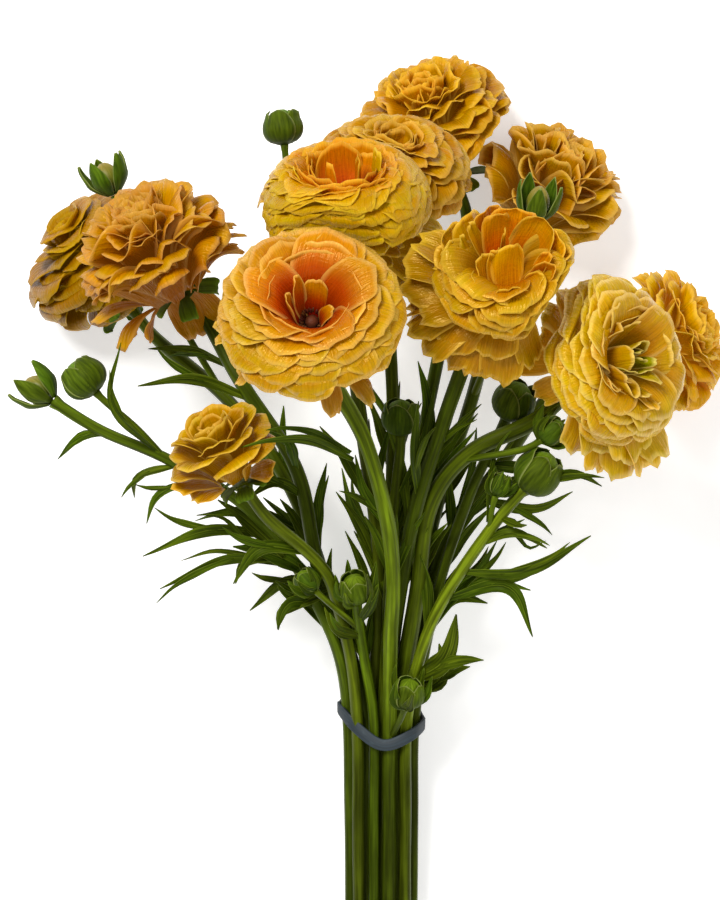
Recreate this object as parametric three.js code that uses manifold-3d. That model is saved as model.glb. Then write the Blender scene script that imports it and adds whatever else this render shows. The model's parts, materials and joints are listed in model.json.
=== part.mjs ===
// A tied bunch of ranunculus, laid down on its side: eleven blooms, buds and narrow
// leaves on green stems, held by one rubber band. Millimetres, +Z up. The stems run
// along Y with the blooms at +Y, and the side that faces up is the bunch's front.
import * as THREE from 'three';
import { mergeVertices } from 'three/addons/utils/BufferGeometryUtils.js';
import Module from 'manifold-3d';

const wasm = await Module();
wasm.setup();

// ---- driving dimensions ------------------------------------------------------

const PETAL_THICKNESS = 0.7;
const LEAF_THICKNESS = 0.8;
const PIECE_GAP = 0.35;                            // between a bloom and its receptacle
const GOLDEN_ANGLE = Math.PI * (3 - Math.sqrt(5)); // turn from one petal to the next

const BUNCH_X = 9.5;      // middle of the stems where the band holds them
const BAND_Y = -116;      // the band's middle, along the stems
const BAND_Z = 29;        // height of the stems' middle at the band
const BAND_SLOPE = 1.1;   // how far the band leans toward the cut ends per mm of height
const BAND_WIDTH = 5;
const BAND_THICKNESS = 1.3;
const BAND_SIDES = 28;
const END_Y = -208;       // nearest cut stem end
const END_Z = 11.9;       // height of the stems' middle at the cut ends
const END_STAGGER = 14;   // cut ends differ by up to this much
const SLOT_X = 7.2;       // spacing of stems beside each other at the band
const SLOT_Z = 6.5;       // spacing of the stems' rows at the band
const END_SQUEEZE = 0.92; // the bundle is narrower at the cut ends
const HALFWAY_SQUEEZE = 0.96;  // and halfway from the band to them
const HALFWAY_RISE = 0.45;     // where it has come this share of the way up to the band
const NECK_LENGTH = 20;        // a flower stem's last stretch points the way its bloom faces
const BAND_HALF_HEIGHT = 11;   // from the stems' middle up to the band's highest point
const BAND_AIR = 0.6;          // between the band and the stems that it holds
const TABLE_BLOCK = [600, 700, 20];

const SAMPLE_STEP = 4;    // spacing of the points that keep strands apart
const STRAND_GAP = 0.9;   // air kept between stems, shoots and leaves
const BLOOM_GAP = 1.2;    // air kept between a bloom and what passes it
const PRESS_DEPTH = 0.72;   // petals this deep in the outline of a bloom in front end on it
const PRESS_REACH = 1.25;   // and petals this far out aren't moved
const RELAX_ROUNDS = 120;
const LAST_ROUNDS = 12;     // in these nothing is smoothed, so that all gaps stay open
const LONGEST_PUSH = 1;     // in one round
const SMOOTHING = 0.35;     // how far a moved point follows its neighbours' moves
const BUD_REACH = 0.45;     // a bud counts as wide over this share of its length
const BUD_AIR = 0.6;
const THIN_TOLERANCE = 0.7;
const PRESSED = 0.76;       // a stem on the table lies this share of its radius above it

// Each bloom: middle of its flower head, the way that it faces, its radius across the
// petals, half its depth, how far its cup opens (angle of the cup's rim from the way
// that it faces), the angle of its outermost petals, how far those bend over (degrees,
// less than 0 bends them up), petal waviness and petal count.
const BLOOMS = {
  '03': { centre: [-19, 52, 165], faces: [0, 0.25, 0.97], radius: 38, half: 22, rim: 36, outer: 102,
    droop: 20, wave: 0.8, petals: 12, colour: 0xe0a02c },
  '08': { centre: [54, 68, 150], faces: [0.08, 0.3, 0.95], radius: 36.5, half: 22, rim: 34, outer: 104,
    droop: 16, wave: 1.0, petals: 11, colour: 0xe6ac3e },
  '09': { centre: [102, 32, 128], faces: [0.3, 0.1, 0.95], radius: 34.5, half: 25, rim: 28, outer: 106,
    droop: 12, wave: 0.8, petals: 11, colour: 0xe2be50 },
  '04': { centre: [-6, 99, 125], faces: [-0.05, 0.9, 0.42], radius: 35, half: 27, rim: 20, outer: 100,
    droop: -4, wave: 1.0, petals: 11, colour: 0xe3b436 },
  '02': { centre: [-84, 80, 103], faces: [-0.35, 0.45, 0.7], radius: 34, half: 28, rim: 16, outer: 102,
    droop: -4, wave: 2.0, petals: 11, colour: 0xd49a44 },
  '11': { centre: [-56, -1, 118], faces: [-0.45, 0.72, 0.5], radius: 24, half: 19, rim: 26, outer: 98,
    droop: 4, wave: 0.8, petals: 8, colour: 0xd99a30 },
  '05': { centre: [13, 115, 79], faces: [0.05, 0.93, 0.3], radius: 34.5, half: 26, rim: 18, outer: 100,
    droop: -4, wave: 1.2, petals: 10, colour: 0xe2b45c },
  '07': { centre: [82, 114, 25], faces: [0.4, 0.7, 0.5], radius: 34, half: 28, rim: 16, outer: 102,
    droop: -6, wave: 1.8, petals: 10, colour: 0xc9963f },
  '10': { centre: [132, 47, 28], faces: [0.85, 0.25, 0.15], radius: 33, half: 26, rim: 18, outer: 102,
    droop: -4, wave: 1.8, petals: 10, colour: 0xc98f3a },
  '06': { centre: [33, 142, 26.4], faces: [-0.3, 0.8, 0.35], radius: 34, half: 29, rim: 16, outer: 102,
    droop: -6, wave: 2.0, petals: 10, colour: 0xd9a238 },
  '01': { centre: [-115, 82, 29.8], faces: [-0.55, 0.7, -0.1], radius: 34, half: 27, rim: 18, outer: 102,
    droop: -4, wave: 1.2, petals: 10, colour: 0xc99a2c },
};
// From front to back. A bloom gives way to the ones before it.
const BLOOM_ORDER = ['03', '08', '09', '04', '02', '11', '05', '07', '10', '06', '01'];
const BASE_DEPTH = 0.86;   // the receptacle lies this share of the half depth below the middle
const CORE_RADIUS = 0.44;  // the solid middle, as a share of the bloom's radius
const BLOOM_WITH_CENTRE = { '03': 0x5a1a00, '08': 0xb85a1c, '09': 0x8f9c1c, '11': 0x9aa02a };

// Petals that hang below their bloom: the way that they point along X and Y, their reach
// from the middle as a share of the radius, and their height as a share of the half depth.
const HANGING_PETALS = {
  '02': [[-0.35, -0.95, 1.2, -0.7], [0.1, -1, 1.12, -0.8]],
  '08': [[-0.45, -0.9, 1.25, -0.6], [-0.1, -1, 1.28, -0.75], [0.3, -0.95, 1.18, -0.6]],
  '09': [[-0.15, -1, 1.35, -0.6], [-0.7, -0.7, 1.15, -0.75]],
};

// Stems: radius, row and column at the band (row 0 lies lowest), points on the way from
// the band to the head, and the bloom or the bud that it carries.
const STEMS = [
  { id: '01', radius: 2.8, slot: [1, 0], bloom: '01', via: [[-24, -30, 48], [-53, 17, 44]] },
  { id: '02', radius: 3.0, slot: [2, 1], bloom: '02', via: [[-18, -50, 58], [-27, -8, 68], [-50, 28, 74]] },
  { id: '03', radius: 3.2, slot: [3, 2], bloom: '03',
    via: [[13, -80, 58], [14, -54, 78], [11, -28, 96], [2, 4, 110], [-9, 24, 116]] },
  { id: '04', radius: 2.9, slot: [1, 1], bloom: '04', via: [[8, -45, 64], [1, 8, 84], [-3, 38, 98]] },
  { id: '05', radius: 2.8, slot: [0, 1], bloom: '05', via: [[13, -40, 46], [14, 20, 56]] },
  { id: '06', radius: 2.8, slot: [0, 0], bloom: '06', via: [[20, -30, 34], [34, 40, 28], [44, 85, 20]] },
  { id: '07', radius: 2.8, slot: [0, 2], bloom: '07', via: [[32, -30, 36], [50, 26, 28]] },
  { id: '08', radius: 3.1, slot: [1, 2], bloom: '08', via: [[20, -50, 66], [28, -8, 86], [40, 28, 102]] },
  { id: '09', radius: 3.5, slot: [2, 3], bloom: '09',
    via: [[22, -51, 64], [29, -21, 78], [46, 0, 88], [74, 14, 90]] },
  { id: '10', radius: 2.9, slot: [1, 3], bloom: '10', via: [[35, -45, 44], [62, -5, 42]] },
  { id: '11', radius: 2.6, slot: [3, 0], bloom: '11', via: [[-6, -80, 58], [-18, -50, 80]] },
  { id: '12', radius: 2.4, slot: [2, 0],
    via: [[-8, -88, 46], [-20, -62, 58], [-33, -40, 68], [-54, -19, 78], [-82, -3, 84],
      [-108, 8, 87], [-126, 19, 88]],
    bud: { at: [-135, 26, 87], length: 17, radius: 8.5, open: 0.7 } },
  { id: '13', radius: 2.5, slot: [3, 3],
    via: [[27, -84, 56], [36, -62, 70], [54, -33, 88], [65, -17, 97]],
    bud: { at: [72, -6, 102], length: 19, radius: 8.5, open: 0 } },
  { id: '14', radius: 2.3, slot: [2, 4], via: [[33, -62, 50], [47, -18, 66], [60, 8, 78]],
    bud: { at: [65, 20, 85], length: 17, radius: 8, open: 0 } },
  { id: '15', radius: 2.3, slot: [2, 2], via: [[15, -60, 62], [15, -28, 72], [17, 0, 82]],
    bud: { at: [17, 14, 87], length: 15, radius: 7, open: 0 } },
  { id: '16', radius: 2.2, slot: [3, 1], via: [[2, -90, 50], [-1, -70, 66]],
    bud: { at: [-2, -58, 76], length: 13, radius: 6, open: 0 } },
];
const ROW_LENGTHS = [3, 4, 5, 4];

// Side shoots with a bud: the stem, where along Y they leave it, points on the way and the bud.
const SHOOTS = [
  { stem: '05', leavesAt: 12, radius: 1.5, via: [[-18, 60, 62], [-29, 104, 60]],
    bud: { at: [-33, 138, 60], length: 15, radius: 7.5, open: 0 } },
  { stem: '01', leavesAt: 22, radius: 1.5, via: [[-80, 60, 60], [-97, 92, 68]],
    bud: { at: [-107, 116, 72], length: 17, radius: 8.5, open: 0.75 } },
  { stem: '12', leavesAt: -3, radius: 1.5, via: [[-94, 10, 91], [-107, 21, 94]],
    bud: { at: [-115, 30, 94], length: 16, radius: 8.2, open: 0 } },
  { stem: '07', leavesAt: 24, radius: 1.5, via: [[62, 56, 58], [70, 84, 82]],
    bud: { at: [74, 104, 93], length: 19, radius: 8, open: 0.5 } },
  { stem: '09', leavesAt: -4, radius: 1.4, via: [[68, 0, 104]],
    bud: { at: [79, 8, 110], length: 11, radius: 5, open: 0 } },
  { stem: '16', leavesAt: -76, radius: 1.3, via: [[-12, -62, 74]],
    bud: { at: [-19, -53, 78], length: 10, radius: 4.5, open: 0 } },
  { stem: '03', leavesAt: -124, radius: 1.4, via: [[19, -112, 52]],
    bud: { at: [21, -103, 57], length: 13, radius: 6, open: 0 } },
  { stem: '13', leavesAt: -32, radius: 1.2, via: [[55, -22, 97]],
    bud: { at: [58, -14, 99], length: 9, radius: 3.8, open: 0 } },
];

// Leaves: the stem, where along Y they leave it, the tip, how far the middle bows up and
// aside (mm), and half their width.
const LEAVES = [
  { stem: '02', leavesAt: 22, tip: [-94, 27, 72], bow: [0, 6, 6], half: 2.6 },
  { stem: '02', leavesAt: 34, tip: [-90, 43, 64], bow: [0, 4, -4], half: 2.2 },
  { stem: '12', leavesAt: -3, tip: [-98, 44, 112], bow: [-12, -2, 8], half: 1.7 },
  { stem: '12', leavesAt: 6, tip: [-127, -4, 80], bow: [0, 5, 3], half: 2.0 },
  { stem: '12', leavesAt: -6, tip: [-95, -20, 76], bow: [-8, 2, 5], half: 1.9 },
  { stem: '12', leavesAt: -12, tip: [-90, -31, 74], bow: [-7, 3, 4], half: 1.8 },
  { stem: '12', leavesAt: -36, tip: [-92, -45, 70], bow: [0, 7, 5], half: 2.6 },
  { stem: '12', leavesAt: -48, tip: [-85, -59, 66], bow: [0, 8, 4], half: 2.4 },
  { stem: '01', leavesAt: -38, tip: [-70, -28, 54], bow: [0, 6, 0], half: 2.4 },
  { stem: '11', leavesAt: -44, tip: [-53, -56, 84], bow: [-4, 9, 6], half: 3.0 },
  { stem: '12', leavesAt: -66, tip: [-35, -76, 66], bow: [-4, 6, 5], half: 3.0 },
  { stem: '02', leavesAt: -8, tip: [-42, 7, 92], bow: [4, 5, 8], half: 2.4 },
  { stem: '02', leavesAt: -20, tip: [-48, -22, 74], bow: [0, 7, 4], half: 2.4 },
  { stem: '01', leavesAt: -60, tip: [-48, -70, 30], bow: [0, 8, 4], half: 2.6 },
  { stem: '06', leavesAt: -50, tip: [-8, -8, 14], bow: [-6, 0, -2], half: 2.4 },
  { stem: '13', leavesAt: -17, tip: [100, -15, 100], bow: [4, 8, 6], half: 2.6 },
  { stem: '13', leavesAt: -50, tip: [97, -36, 80], bow: [0, -7, 6], half: 2.8 },
  { stem: '13', leavesAt: -62, tip: [73, -79, 70], bow: [8, 14, 8], half: 3.0 },
  { stem: '14', leavesAt: -62, tip: [73, -60, 56], bow: [0, 6, 4], half: 2.6 },
  { stem: '10', leavesAt: -76, tip: [55, -66, 46], bow: [0, 7, 4], half: 3.2 },
  { stem: '13', leavesAt: -40, tip: [78, -41, 90], bow: [0, 6, 5], half: 2.2 },
  { stem: '13', leavesAt: -28, tip: [69, -31, 102], bow: [4, -3, 5], half: 2.0 },
  { stem: '13', leavesAt: -100, tip: [41, -70, 60], bow: [5, -4, 5], half: 4.6 },
  { stem: '14', leavesAt: -104, tip: [36, -84, 58], bow: [5, -4, 4], half: 4.0 },
  { stem: '07', leavesAt: -70, tip: [60, -40, 20], bow: [6, -3, -2], half: 2.8 },
  { stem: '15', leavesAt: -24, tip: [31, 26, 96], bow: [4, 0, 3], half: 2.6 },
  { stem: '15', leavesAt: -36, tip: [-2, -2, 84], bow: [-4, 0, 3], half: 2.4 },
  { stem: '14', leavesAt: -6, tip: [80, 0, 74], bow: [2, -4, 3], half: 2.6 },
  { stem: '16', leavesAt: -80, tip: [-15, -66, 80], bow: [-3, -3, 4], half: 2.6 },
  { stem: '16', leavesAt: -72, tip: [7, -48, 86], bow: [2, -2, 5], half: 2.6 },
  { stem: '08', leavesAt: -20, tip: [24, 20, 112], bow: [-2, 0, 3], half: 2.4 },
  { stem: '10', leavesAt: -20, tip: [92, -18, 40], bow: [4, -6, 2], half: 2.6 },
];

const CUP_TOP = 1.6;             // height of an open bud's small cup, on which its petals sit
const BUD_HEART_HEIGHT = 0.72;   // petals of an open bud, as shares of its length and radius
const BUD_HEART_WIDTH = 0.6;
const GREENS = { stem: 0x6f8f2c, bud: 0x3f6a1e };
const BUD_PETAL_COLOUR = 0xc9b24a;
const BAND_COLOUR = 0x3a4a50;

// ---- small helpers -----------------------------------------------------------

const vector = (xyz) => new THREE.Vector3(...xyz);
const mix = (a, b, t) => a + (b - a) * t;
const clamp01 = (t) => Math.min(1, Math.max(0, t));
const radians = (degrees) => degrees * Math.PI / 180;

// A steady pseudo-random number from 0 to 1 for a whole number.
const scatter = (n) => {
  const s = Math.sin(n * 12.9898 + 4.1414) * 43758.5453;
  return s - Math.floor(s);
};

// A closed mesh made solid, so that it can be joined and cut.
function solid(geometry) {
  const bare = geometry.clone();
  bare.deleteAttribute('normal');
  bare.deleteAttribute('uv');
  const merged = mergeVertices(bare, 1e-4);
  return new wasm.Manifold(new wasm.Mesh({
    numProp: 3,
    vertProperties: new Float32Array(merged.attributes.position.array),
    triVerts: new Uint32Array(merged.index.array),
  }));
}

// Joins solids that cross into one body. A hollow that the joint seals is filled.
function joined(solids) {
  const whole = solids.reduce((all, next) => all.add(next));
  const bodies = whole.decompose().filter((piece) => piece.volume() > 0);
  if (bodies.length !== 1) throw new Error('a piece hangs loose from its body');
  return bodies[0];
}

function namedMesh(name, body, colour, roughness) {
  const mesh = body.getMesh();
  const geometry = new THREE.BufferGeometry();
  geometry.setAttribute('position', new THREE.BufferAttribute(mesh.vertProperties, 3));
  geometry.setIndex(new THREE.BufferAttribute(mesh.triVerts, 1));
  geometry.computeVertexNormals();
  const material = new THREE.MeshStandardMaterial({ color: colour, roughness, metalness: 0 });
  const result = new THREE.Mesh(geometry, material);
  result.name = name;
  return result;
}

// Two unit vectors square to an axis, the first one level.
function frameAbout(axis) {
  const reference = Math.abs(axis.z) > 0.98 ? new THREE.Vector3(0, 1, 0) : new THREE.Vector3(0, 0, 1);
  const across = new THREE.Vector3().crossVectors(reference, axis).normalize();
  const up = new THREE.Vector3().crossVectors(axis, across).normalize();
  return { across, up, axis };
}

// A thin blade: a plane's grid lifted to surface(x, v), x from -1 to 1 across and v from 0
// at the root to 1 at the tip, then thickened. Both faces are split into triangles alike.
function blade(columns, rows, thickness, surface) {
  const plane = new THREE.PlaneGeometry(2, 1, columns, rows);
  const flat = plane.attributes.position;
  const middle = [];
  for (let i = 0; i < flat.count; i += 1) {
    middle.push(surface(flat.getX(i), 0.5 - flat.getY(i)));
  }
  const wide = columns + 1;
  const at = (column, row) => middle[row * wide + column];
  const corners = [];
  for (const side of [1, -1]) {
    for (let row = 0; row <= rows; row += 1) {
      for (let column = 0; column <= columns; column += 1) {
        const ahead = at(column, Math.min(row + 1, rows));
        const along = ahead.clone().sub(at(column, Math.max(row - 1, 0)));
        const right = at(Math.min(column + 1, columns), row);
        const across = right.clone().sub(at(Math.max(column - 1, 0), row));
        const normal = across.cross(along).normalize();
        corners.push(...at(column, row).clone().addScaledVector(normal, side * thickness / 2).toArray());
      }
    }
  }
  const index = [];
  const under = middle.length;
  const faces = plane.index.array;
  for (let i = 0; i < faces.length; i += 3) {
    const [a, b, c] = [faces[i], faces[i + 1], faces[i + 2]];
    index.push(a, c, b, under + a, under + b, under + c);
  }
  const rim = [];
  for (let column = 0; column < columns; column += 1) rim.push(column);
  for (let row = 0; row < rows; row += 1) rim.push(row * wide + columns);
  for (let column = columns; column > 0; column -= 1) rim.push(rows * wide + column);
  for (let row = rows; row > 0; row -= 1) rim.push(row * wide);
  rim.forEach((a, i) => {
    const b = rim[(i + 1) % rim.length];
    index.push(b, a, under + a, b, under + a, under + b);
  });
  const geometry = new THREE.BufferGeometry();
  geometry.setAttribute('position', new THREE.Float32BufferAttribute(corners, 3));
  geometry.setIndex(index);
  return solid(geometry);
}

// ---- strands: stems, shoots and leaf ribs, kept clear of each other ------------

// A curve through hand-set points, as evenly spaced samples.
function strandSamples(points, step) {
  const curve = new THREE.CatmullRomCurve3(points, false, 'catmullrom', 0.5);
  const pieces = Math.max(3, Math.round(curve.getLength() / step));
  return curve.getSpacedPoints(pieces);
}

function slotOffset([row, column]) {
  const x = (column - (ROW_LENGTHS[row] - 1) / 2) * SLOT_X;
  const z = (row - (ROW_LENGTHS.length - 1) / 2) * SLOT_Z;
  return [x, z];
}

function bloomFrame(id) {
  const bloom = BLOOMS[id];
  const axis = vector(bloom.faces).normalize();
  const centre = vector(bloom.centre);
  const base = centre.clone().addScaledVector(axis, -bloom.half * BASE_DEPTH);
  return { ...bloom, ...frameAbout(axis), centre, base };
}

function nearestSample(samples, y) {
  let best = 0;
  samples.forEach((p, i) => {
    if (Math.abs(p.y - y) < Math.abs(samples[best].y - y)) best = i;
  });
  return best;
}

function makeStrand(stem, kind, points, radius, extra) {
  const samples = strandSamples(points, SAMPLE_STEP);
  const radii = samples.map(() => radius);
  return { stem, kind, samples, radii, radius, rest: samples.map((p) => p.clone()), ...extra };
}

function stemStrands() {
  return STEMS.map((stem, number) => {
    const [dx, dz] = slotOffset(stem.slot);
    const stagger = END_STAGGER * scatter(number + 1);
    const points = [
      new THREE.Vector3(BUNCH_X + dx * END_SQUEEZE, END_Y - stagger, END_Z + dz),
      new THREE.Vector3(BUNCH_X + dx * HALFWAY_SQUEEZE, mix(END_Y, BAND_Y, 0.5),
        mix(END_Z, BAND_Z, HALFWAY_RISE) + dz),
      new THREE.Vector3(BUNCH_X + dx, BAND_Y, BAND_Z + dz),
      ...stem.via.map(vector),
    ];
    const extra = { id: stem.id, bloom: stem.bloom, bud: stem.bud };
    if (stem.bloom) {
      const { base, axis } = bloomFrame(stem.bloom);
      points.push(base.clone().addScaledVector(axis, -NECK_LENGTH), base);
    } else {
      points.push(vector(stem.bud.at));
    }
    return makeStrand(stem.id, 'stem', points, stem.radius, extra);
  });
}

function sideStrand(stems, item, kind, points, radius, extra) {
  const parent = stems.find((strand) => strand.id === item.stem);
  const index = nearestSample(parent.samples, item.leavesAt);
  const start = parent.samples[index].clone();
  return makeStrand(item.stem, kind, [start, ...points(start)], radius, { parent, index, ...extra });
}

function shootStrands(stems) {
  return SHOOTS.map((shoot) => sideStrand(stems, shoot, 'shoot',
    () => [...shoot.via.map(vector), vector(shoot.bud.at)], shoot.radius, { bud: shoot.bud }));
}

function leafStrands(stems) {
  return LEAVES.map((leaf) => sideStrand(stems, leaf, 'leaf', (start) => {
    const tip = vector(leaf.tip);
    return [start.clone().lerp(tip, 0.5).add(vector(leaf.bow)), tip];
  }, leaf.half * 0.8, { half: leaf.half }));
}

// The buds count as a wide end of their strand.
function widenForBud(strand) {
  const { samples, radii, bud } = strand;
  const end = samples[samples.length - 1];
  samples.forEach((p, i) => {
    if (bud && p.distanceTo(end) < bud.length * BUD_REACH) radii[i] = bud.radius + BUD_AIR;
  });
}

// How far out a point lies in a bloom's rounded outline grown by a margin: 1 is on it.
function outlineSize(local, bloom, margin) {
  const wide = bloom.radius + margin;
  const deep = bloom.half + margin;
  return Math.hypot(local.dot(bloom.across) / wide, local.dot(bloom.up) / wide, local.dot(bloom.axis) / deep);
}

// Moves a point out of a bloom's rounded outline.
function pushOut(point, bloom, margin) {
  const local = point.clone().sub(bloom.centre);
  const size = outlineSize(local, bloom, margin);
  if (size < 1 && size > 1e-6) point.copy(bloom.centre).addScaledVector(local, 1 / size);
}

// Presses a petal's point away from the bloom in front. Layers keep their order, so what
// lay deepest in that bloom's outline ends on it, and its neighbours close up behind it.
function pressBack(point, bloom) {
  const local = point.clone().sub(bloom.centre);
  const size = outlineSize(local, bloom, BLOOM_GAP);
  if (size >= PRESS_REACH || size < 1e-6) return;
  const share = Math.max(0, size - PRESS_DEPTH) / (PRESS_REACH - PRESS_DEPTH);
  const pressed = mix(1, PRESS_REACH, share);
  point.copy(bloom.centre).addScaledVector(local, pressed / size);
}

// Pushes strands of different stems apart a little at a time. What a strand moves is
// spread along it, so that it stays smooth. Side strands follow the stem they leave.
function relax(strands, blooms) {
  const marks = [];
  strands.forEach((strand) => {
    strand.samples.forEach((p, i) => {
      marks.push({ strand, i, p, r: strand.radii[i], push: new THREE.Vector3() });
    });
  });
  for (let round = 0; round < RELAX_ROUNDS; round += 1) {
    marks.forEach((mark) => mark.push.set(0, 0, 0));
    for (let a = 0; a < marks.length; a += 1) {
      const one = marks[a];
      for (let b = a + 1; b < marks.length; b += 1) {
        const other = marks[b];
        if (one.strand.stem === other.strand.stem) continue;
        const need = one.r + other.r + STRAND_GAP;
        const dx = one.p.x - other.p.x;
        if (dx > need || dx < -need) continue;
        const dy = one.p.y - other.p.y;
        const dz = one.p.z - other.p.z;
        const distance = Math.sqrt(dx * dx + dy * dy + dz * dz) + 1e-6;
        if (distance >= need) continue;
        const share = 0.5 * (need - distance) / distance;
        one.push.x += dx * share;
        one.push.y += dy * share;
        one.push.z += dz * share;
        other.push.x -= dx * share;
        other.push.y -= dy * share;
        other.push.z -= dz * share;
      }
    }
    const last = round > RELAX_ROUNDS - LAST_ROUNDS;
    strands.forEach((strand) => spreadMoves(strand, marks, blooms, last));
    for (const mark of marks) {
      const { strand, i, p } = mark;
      if (strand.parent && i === 0) p.copy(strand.parent.samples[strand.index]);
    }
  }
}

function spreadMoves(strand, marks, blooms, last) {
  const { samples, rest, radii } = strand;
  if (!strand.marks) strand.marks = marks.filter((mark) => mark.strand === strand);
  const count = samples.length;
  const held = strand.bloom ? count - 3 : count;
  for (let i = 0; i < held; i += 1) {
    const { push } = strand.marks[i];
    if (push.length() > LONGEST_PUSH) push.setLength(LONGEST_PUSH);
    samples[i].add(push);
    blooms.forEach((bloom) => {
      if (strand.bloom !== bloom.id) pushOut(samples[i], bloom, radii[i] + BLOOM_GAP);
    });
    samples[i].z = Math.max(samples[i].z, radii[i] * PRESSED);
  }
  if (last) return;
  const moved = samples.map((p, i) => p.clone().sub(rest[i]));
  for (let i = 1; i < held - 1; i += 1) {
    const around = moved[i - 1].clone().add(moved[i + 1]).multiplyScalar(0.5);
    samples[i].copy(rest[i]).add(moved[i].clone().lerp(around, SMOOTHING));
  }
}

// Keeps only the samples that the strand's shape needs.
function thinned(samples) {
  const keep = new Set([0, samples.length - 1]);
  const split = (from, to) => {
    const line = new THREE.Line3(samples[from], samples[to]);
    const nearest = new THREE.Vector3();
    let worst = THIN_TOLERANCE;
    let where = -1;
    for (let i = from + 1; i < to; i += 1) {
      line.closestPointToPoint(samples[i], true, nearest);
      const off = nearest.distanceTo(samples[i]);
      if (off > worst) {
        worst = off;
        where = i;
      }
    }
    if (where > 0) {
      keep.add(where);
      split(from, where);
      split(where, to);
    }
  };
  split(0, samples.length - 1);
  return [...keep].sort((a, b) => a - b).map((i) => samples[i]);
}

// A path straight from point to point, so that a tube has its rings at those points.
class PointPath extends THREE.Curve {
  constructor(points) {
    super();
    this.points = points;
  }

  getPoint(t, target = new THREE.Vector3()) {
    const spot = clamp01(t) * (this.points.length - 1);
    const i = Math.min(Math.floor(spot), this.points.length - 2);
    return target.lerpVectors(this.points[i], this.points[i + 1], spot - i);
  }

  getPointAt(u, target) {
    return this.getPoint(u, target);
  }

  getTangentAt(u, target) {
    return this.getTangent(u, target);
  }

  getSpacedPoints() {
    return this.points;
  }
}

function tube(points, radius, sides) {
  const section = new THREE.Shape();
  for (let i = 0; i < sides; i += 1) {
    const angle = 2 * Math.PI * i / sides;
    const [x, y] = [radius * Math.cos(angle), radius * Math.sin(angle)];
    if (i === 0) section.moveTo(x, y);
    else section.lineTo(x, y);
  }
  section.closePath();
  const path = new PointPath(points);
  const settings = { steps: points.length - 1, extrudePath: path, bevelEnabled: false };
  return solid(new THREE.ExtrudeGeometry(section, settings));
}

// ---- green pieces ------------------------------------------------------------

const LONG_LEAF = 42;      // a leaf longer than this has one more row of faces
const BROAD_LEAF = 2.5;    // and one with a half width over this has a folded rib
const LEAF = { widest: 0.45, root: 0.55, tip: 0.1, fold: 0.35 };

// A narrow leaf along its rib: widest near its middle, pointed, with both edges raised.
function leafBlade(strand) {
  const path = new PointPath(strand.samples);
  const rows = (strand.samples.length - 1) * SAMPLE_STEP > LONG_LEAF ? 4 : 3;
  const columns = strand.half > BROAD_LEAF ? 2 : 1;
  const share = (v) => (v < LEAF.widest
    ? mix(LEAF.root, 1, v / LEAF.widest)
    : mix(1, LEAF.tip, (v - LEAF.widest) / (1 - LEAF.widest)));
  return blade(columns, rows, LEAF_THICKNESS, (x, v) => {
    const p = path.getPoint(v);
    const ahead = path.getTangent(Math.min(v, 0.98)).normalize();
    const side = new THREE.Vector3().crossVectors(ahead, new THREE.Vector3(0, 0, 1)).normalize();
    const up = new THREE.Vector3().crossVectors(side, ahead);
    const width = strand.half * share(v);
    return p.addScaledVector(side, x * width).addScaledVector(up, Math.abs(x) * width * LEAF.fold);
  });
}

const BUD = { ribs: 5, ribHeight: 0.07, taper: 0.22 };

// A closed bud: an egg-shaped ball with five soft ribs, along the end of its strand.
function budBody(at, axis, length, radius) {
  const ball = new THREE.SphereGeometry(1, 10, 4);
  const place = frameAbout(axis);
  const spots = ball.attributes.position;
  for (let i = 0; i < spots.count; i += 1) {
    const p = new THREE.Vector3().fromBufferAttribute(spots, i);
    const rib = 1 + BUD.ribHeight * Math.cos(BUD.ribs * Math.atan2(p.z, p.x));
    const taper = 1 - BUD.taper * p.y;
    const world = at.clone()
      .addScaledVector(place.across, p.x * radius * rib * taper)
      .addScaledVector(place.up, -p.z * radius * rib * taper)
      .addScaledVector(place.axis, p.y * length / 2);
    spots.setXYZ(i, world.x, world.y, world.z);
  }
  ball.computeVertexNormals();
  return solid(ball);
}

const SEPALS = { count: 5, start: 0.4, foot: 0.3, belly: 0.8, wide: 0.62, tip: 0.05, neck: 0.3 };

// Five cupped sepals round a half-open bud. Their half width is an angle round the bud.
function openSepals(at, axis, length, radius, spread) {
  const place = frameAbout(axis);
  const root = at.clone().addScaledVector(axis, -length / 2);
  return Array.from({ length: SEPALS.count }, (_, k) => {
    const turn = k * 2 * Math.PI / SEPALS.count + SEPALS.start;
    return blade(1, 2, LEAF_THICKNESS, (x, v) => {
      const belly = Math.sin(Math.PI * 0.5 * Math.min(1, v / 0.5));
      const swell = radius * (SEPALS.foot + SEPALS.belly * belly + spread * 0.5 * Math.max(0, v - 0.5));
      const narrowed = v < SEPALS.neck ? mix(0.75, 1, v / SEPALS.neck) : 1;
      const width = mix(SEPALS.wide, SEPALS.tip, v * v) * narrowed;
      const angle = turn + x * width;
      return root.clone()
        .addScaledVector(place.across, swell * Math.cos(angle))
        .addScaledVector(place.up, swell * Math.sin(angle))
        .addScaledVector(axis, v * length * 0.95);
    });
  });
}

function lathe(profile, at, axis, sides) {
  const points = profile.map(([r, h]) => new THREE.Vector2(r, h));
  const geometry = new THREE.LatheGeometry(points, sides);
  const turn = new THREE.Quaternion().setFromUnitVectors(new THREE.Vector3(0, 1, 0), axis);
  geometry.applyQuaternion(turn);
  geometry.translate(at.x, at.y, at.z);
  return solid(geometry);
}

function endDirection(samples) {
  const count = samples.length;
  return samples[count - 1].clone().sub(samples[count - 3]).normalize();
}

const RECEPTACLE = { width: 1.9, depth: 7, shoulder: 1.5 };   // what a bloom sits on
const CUP = { width: 0.44, depth: 2, shoulder: 0.4 };         // the same on an open bud

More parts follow.
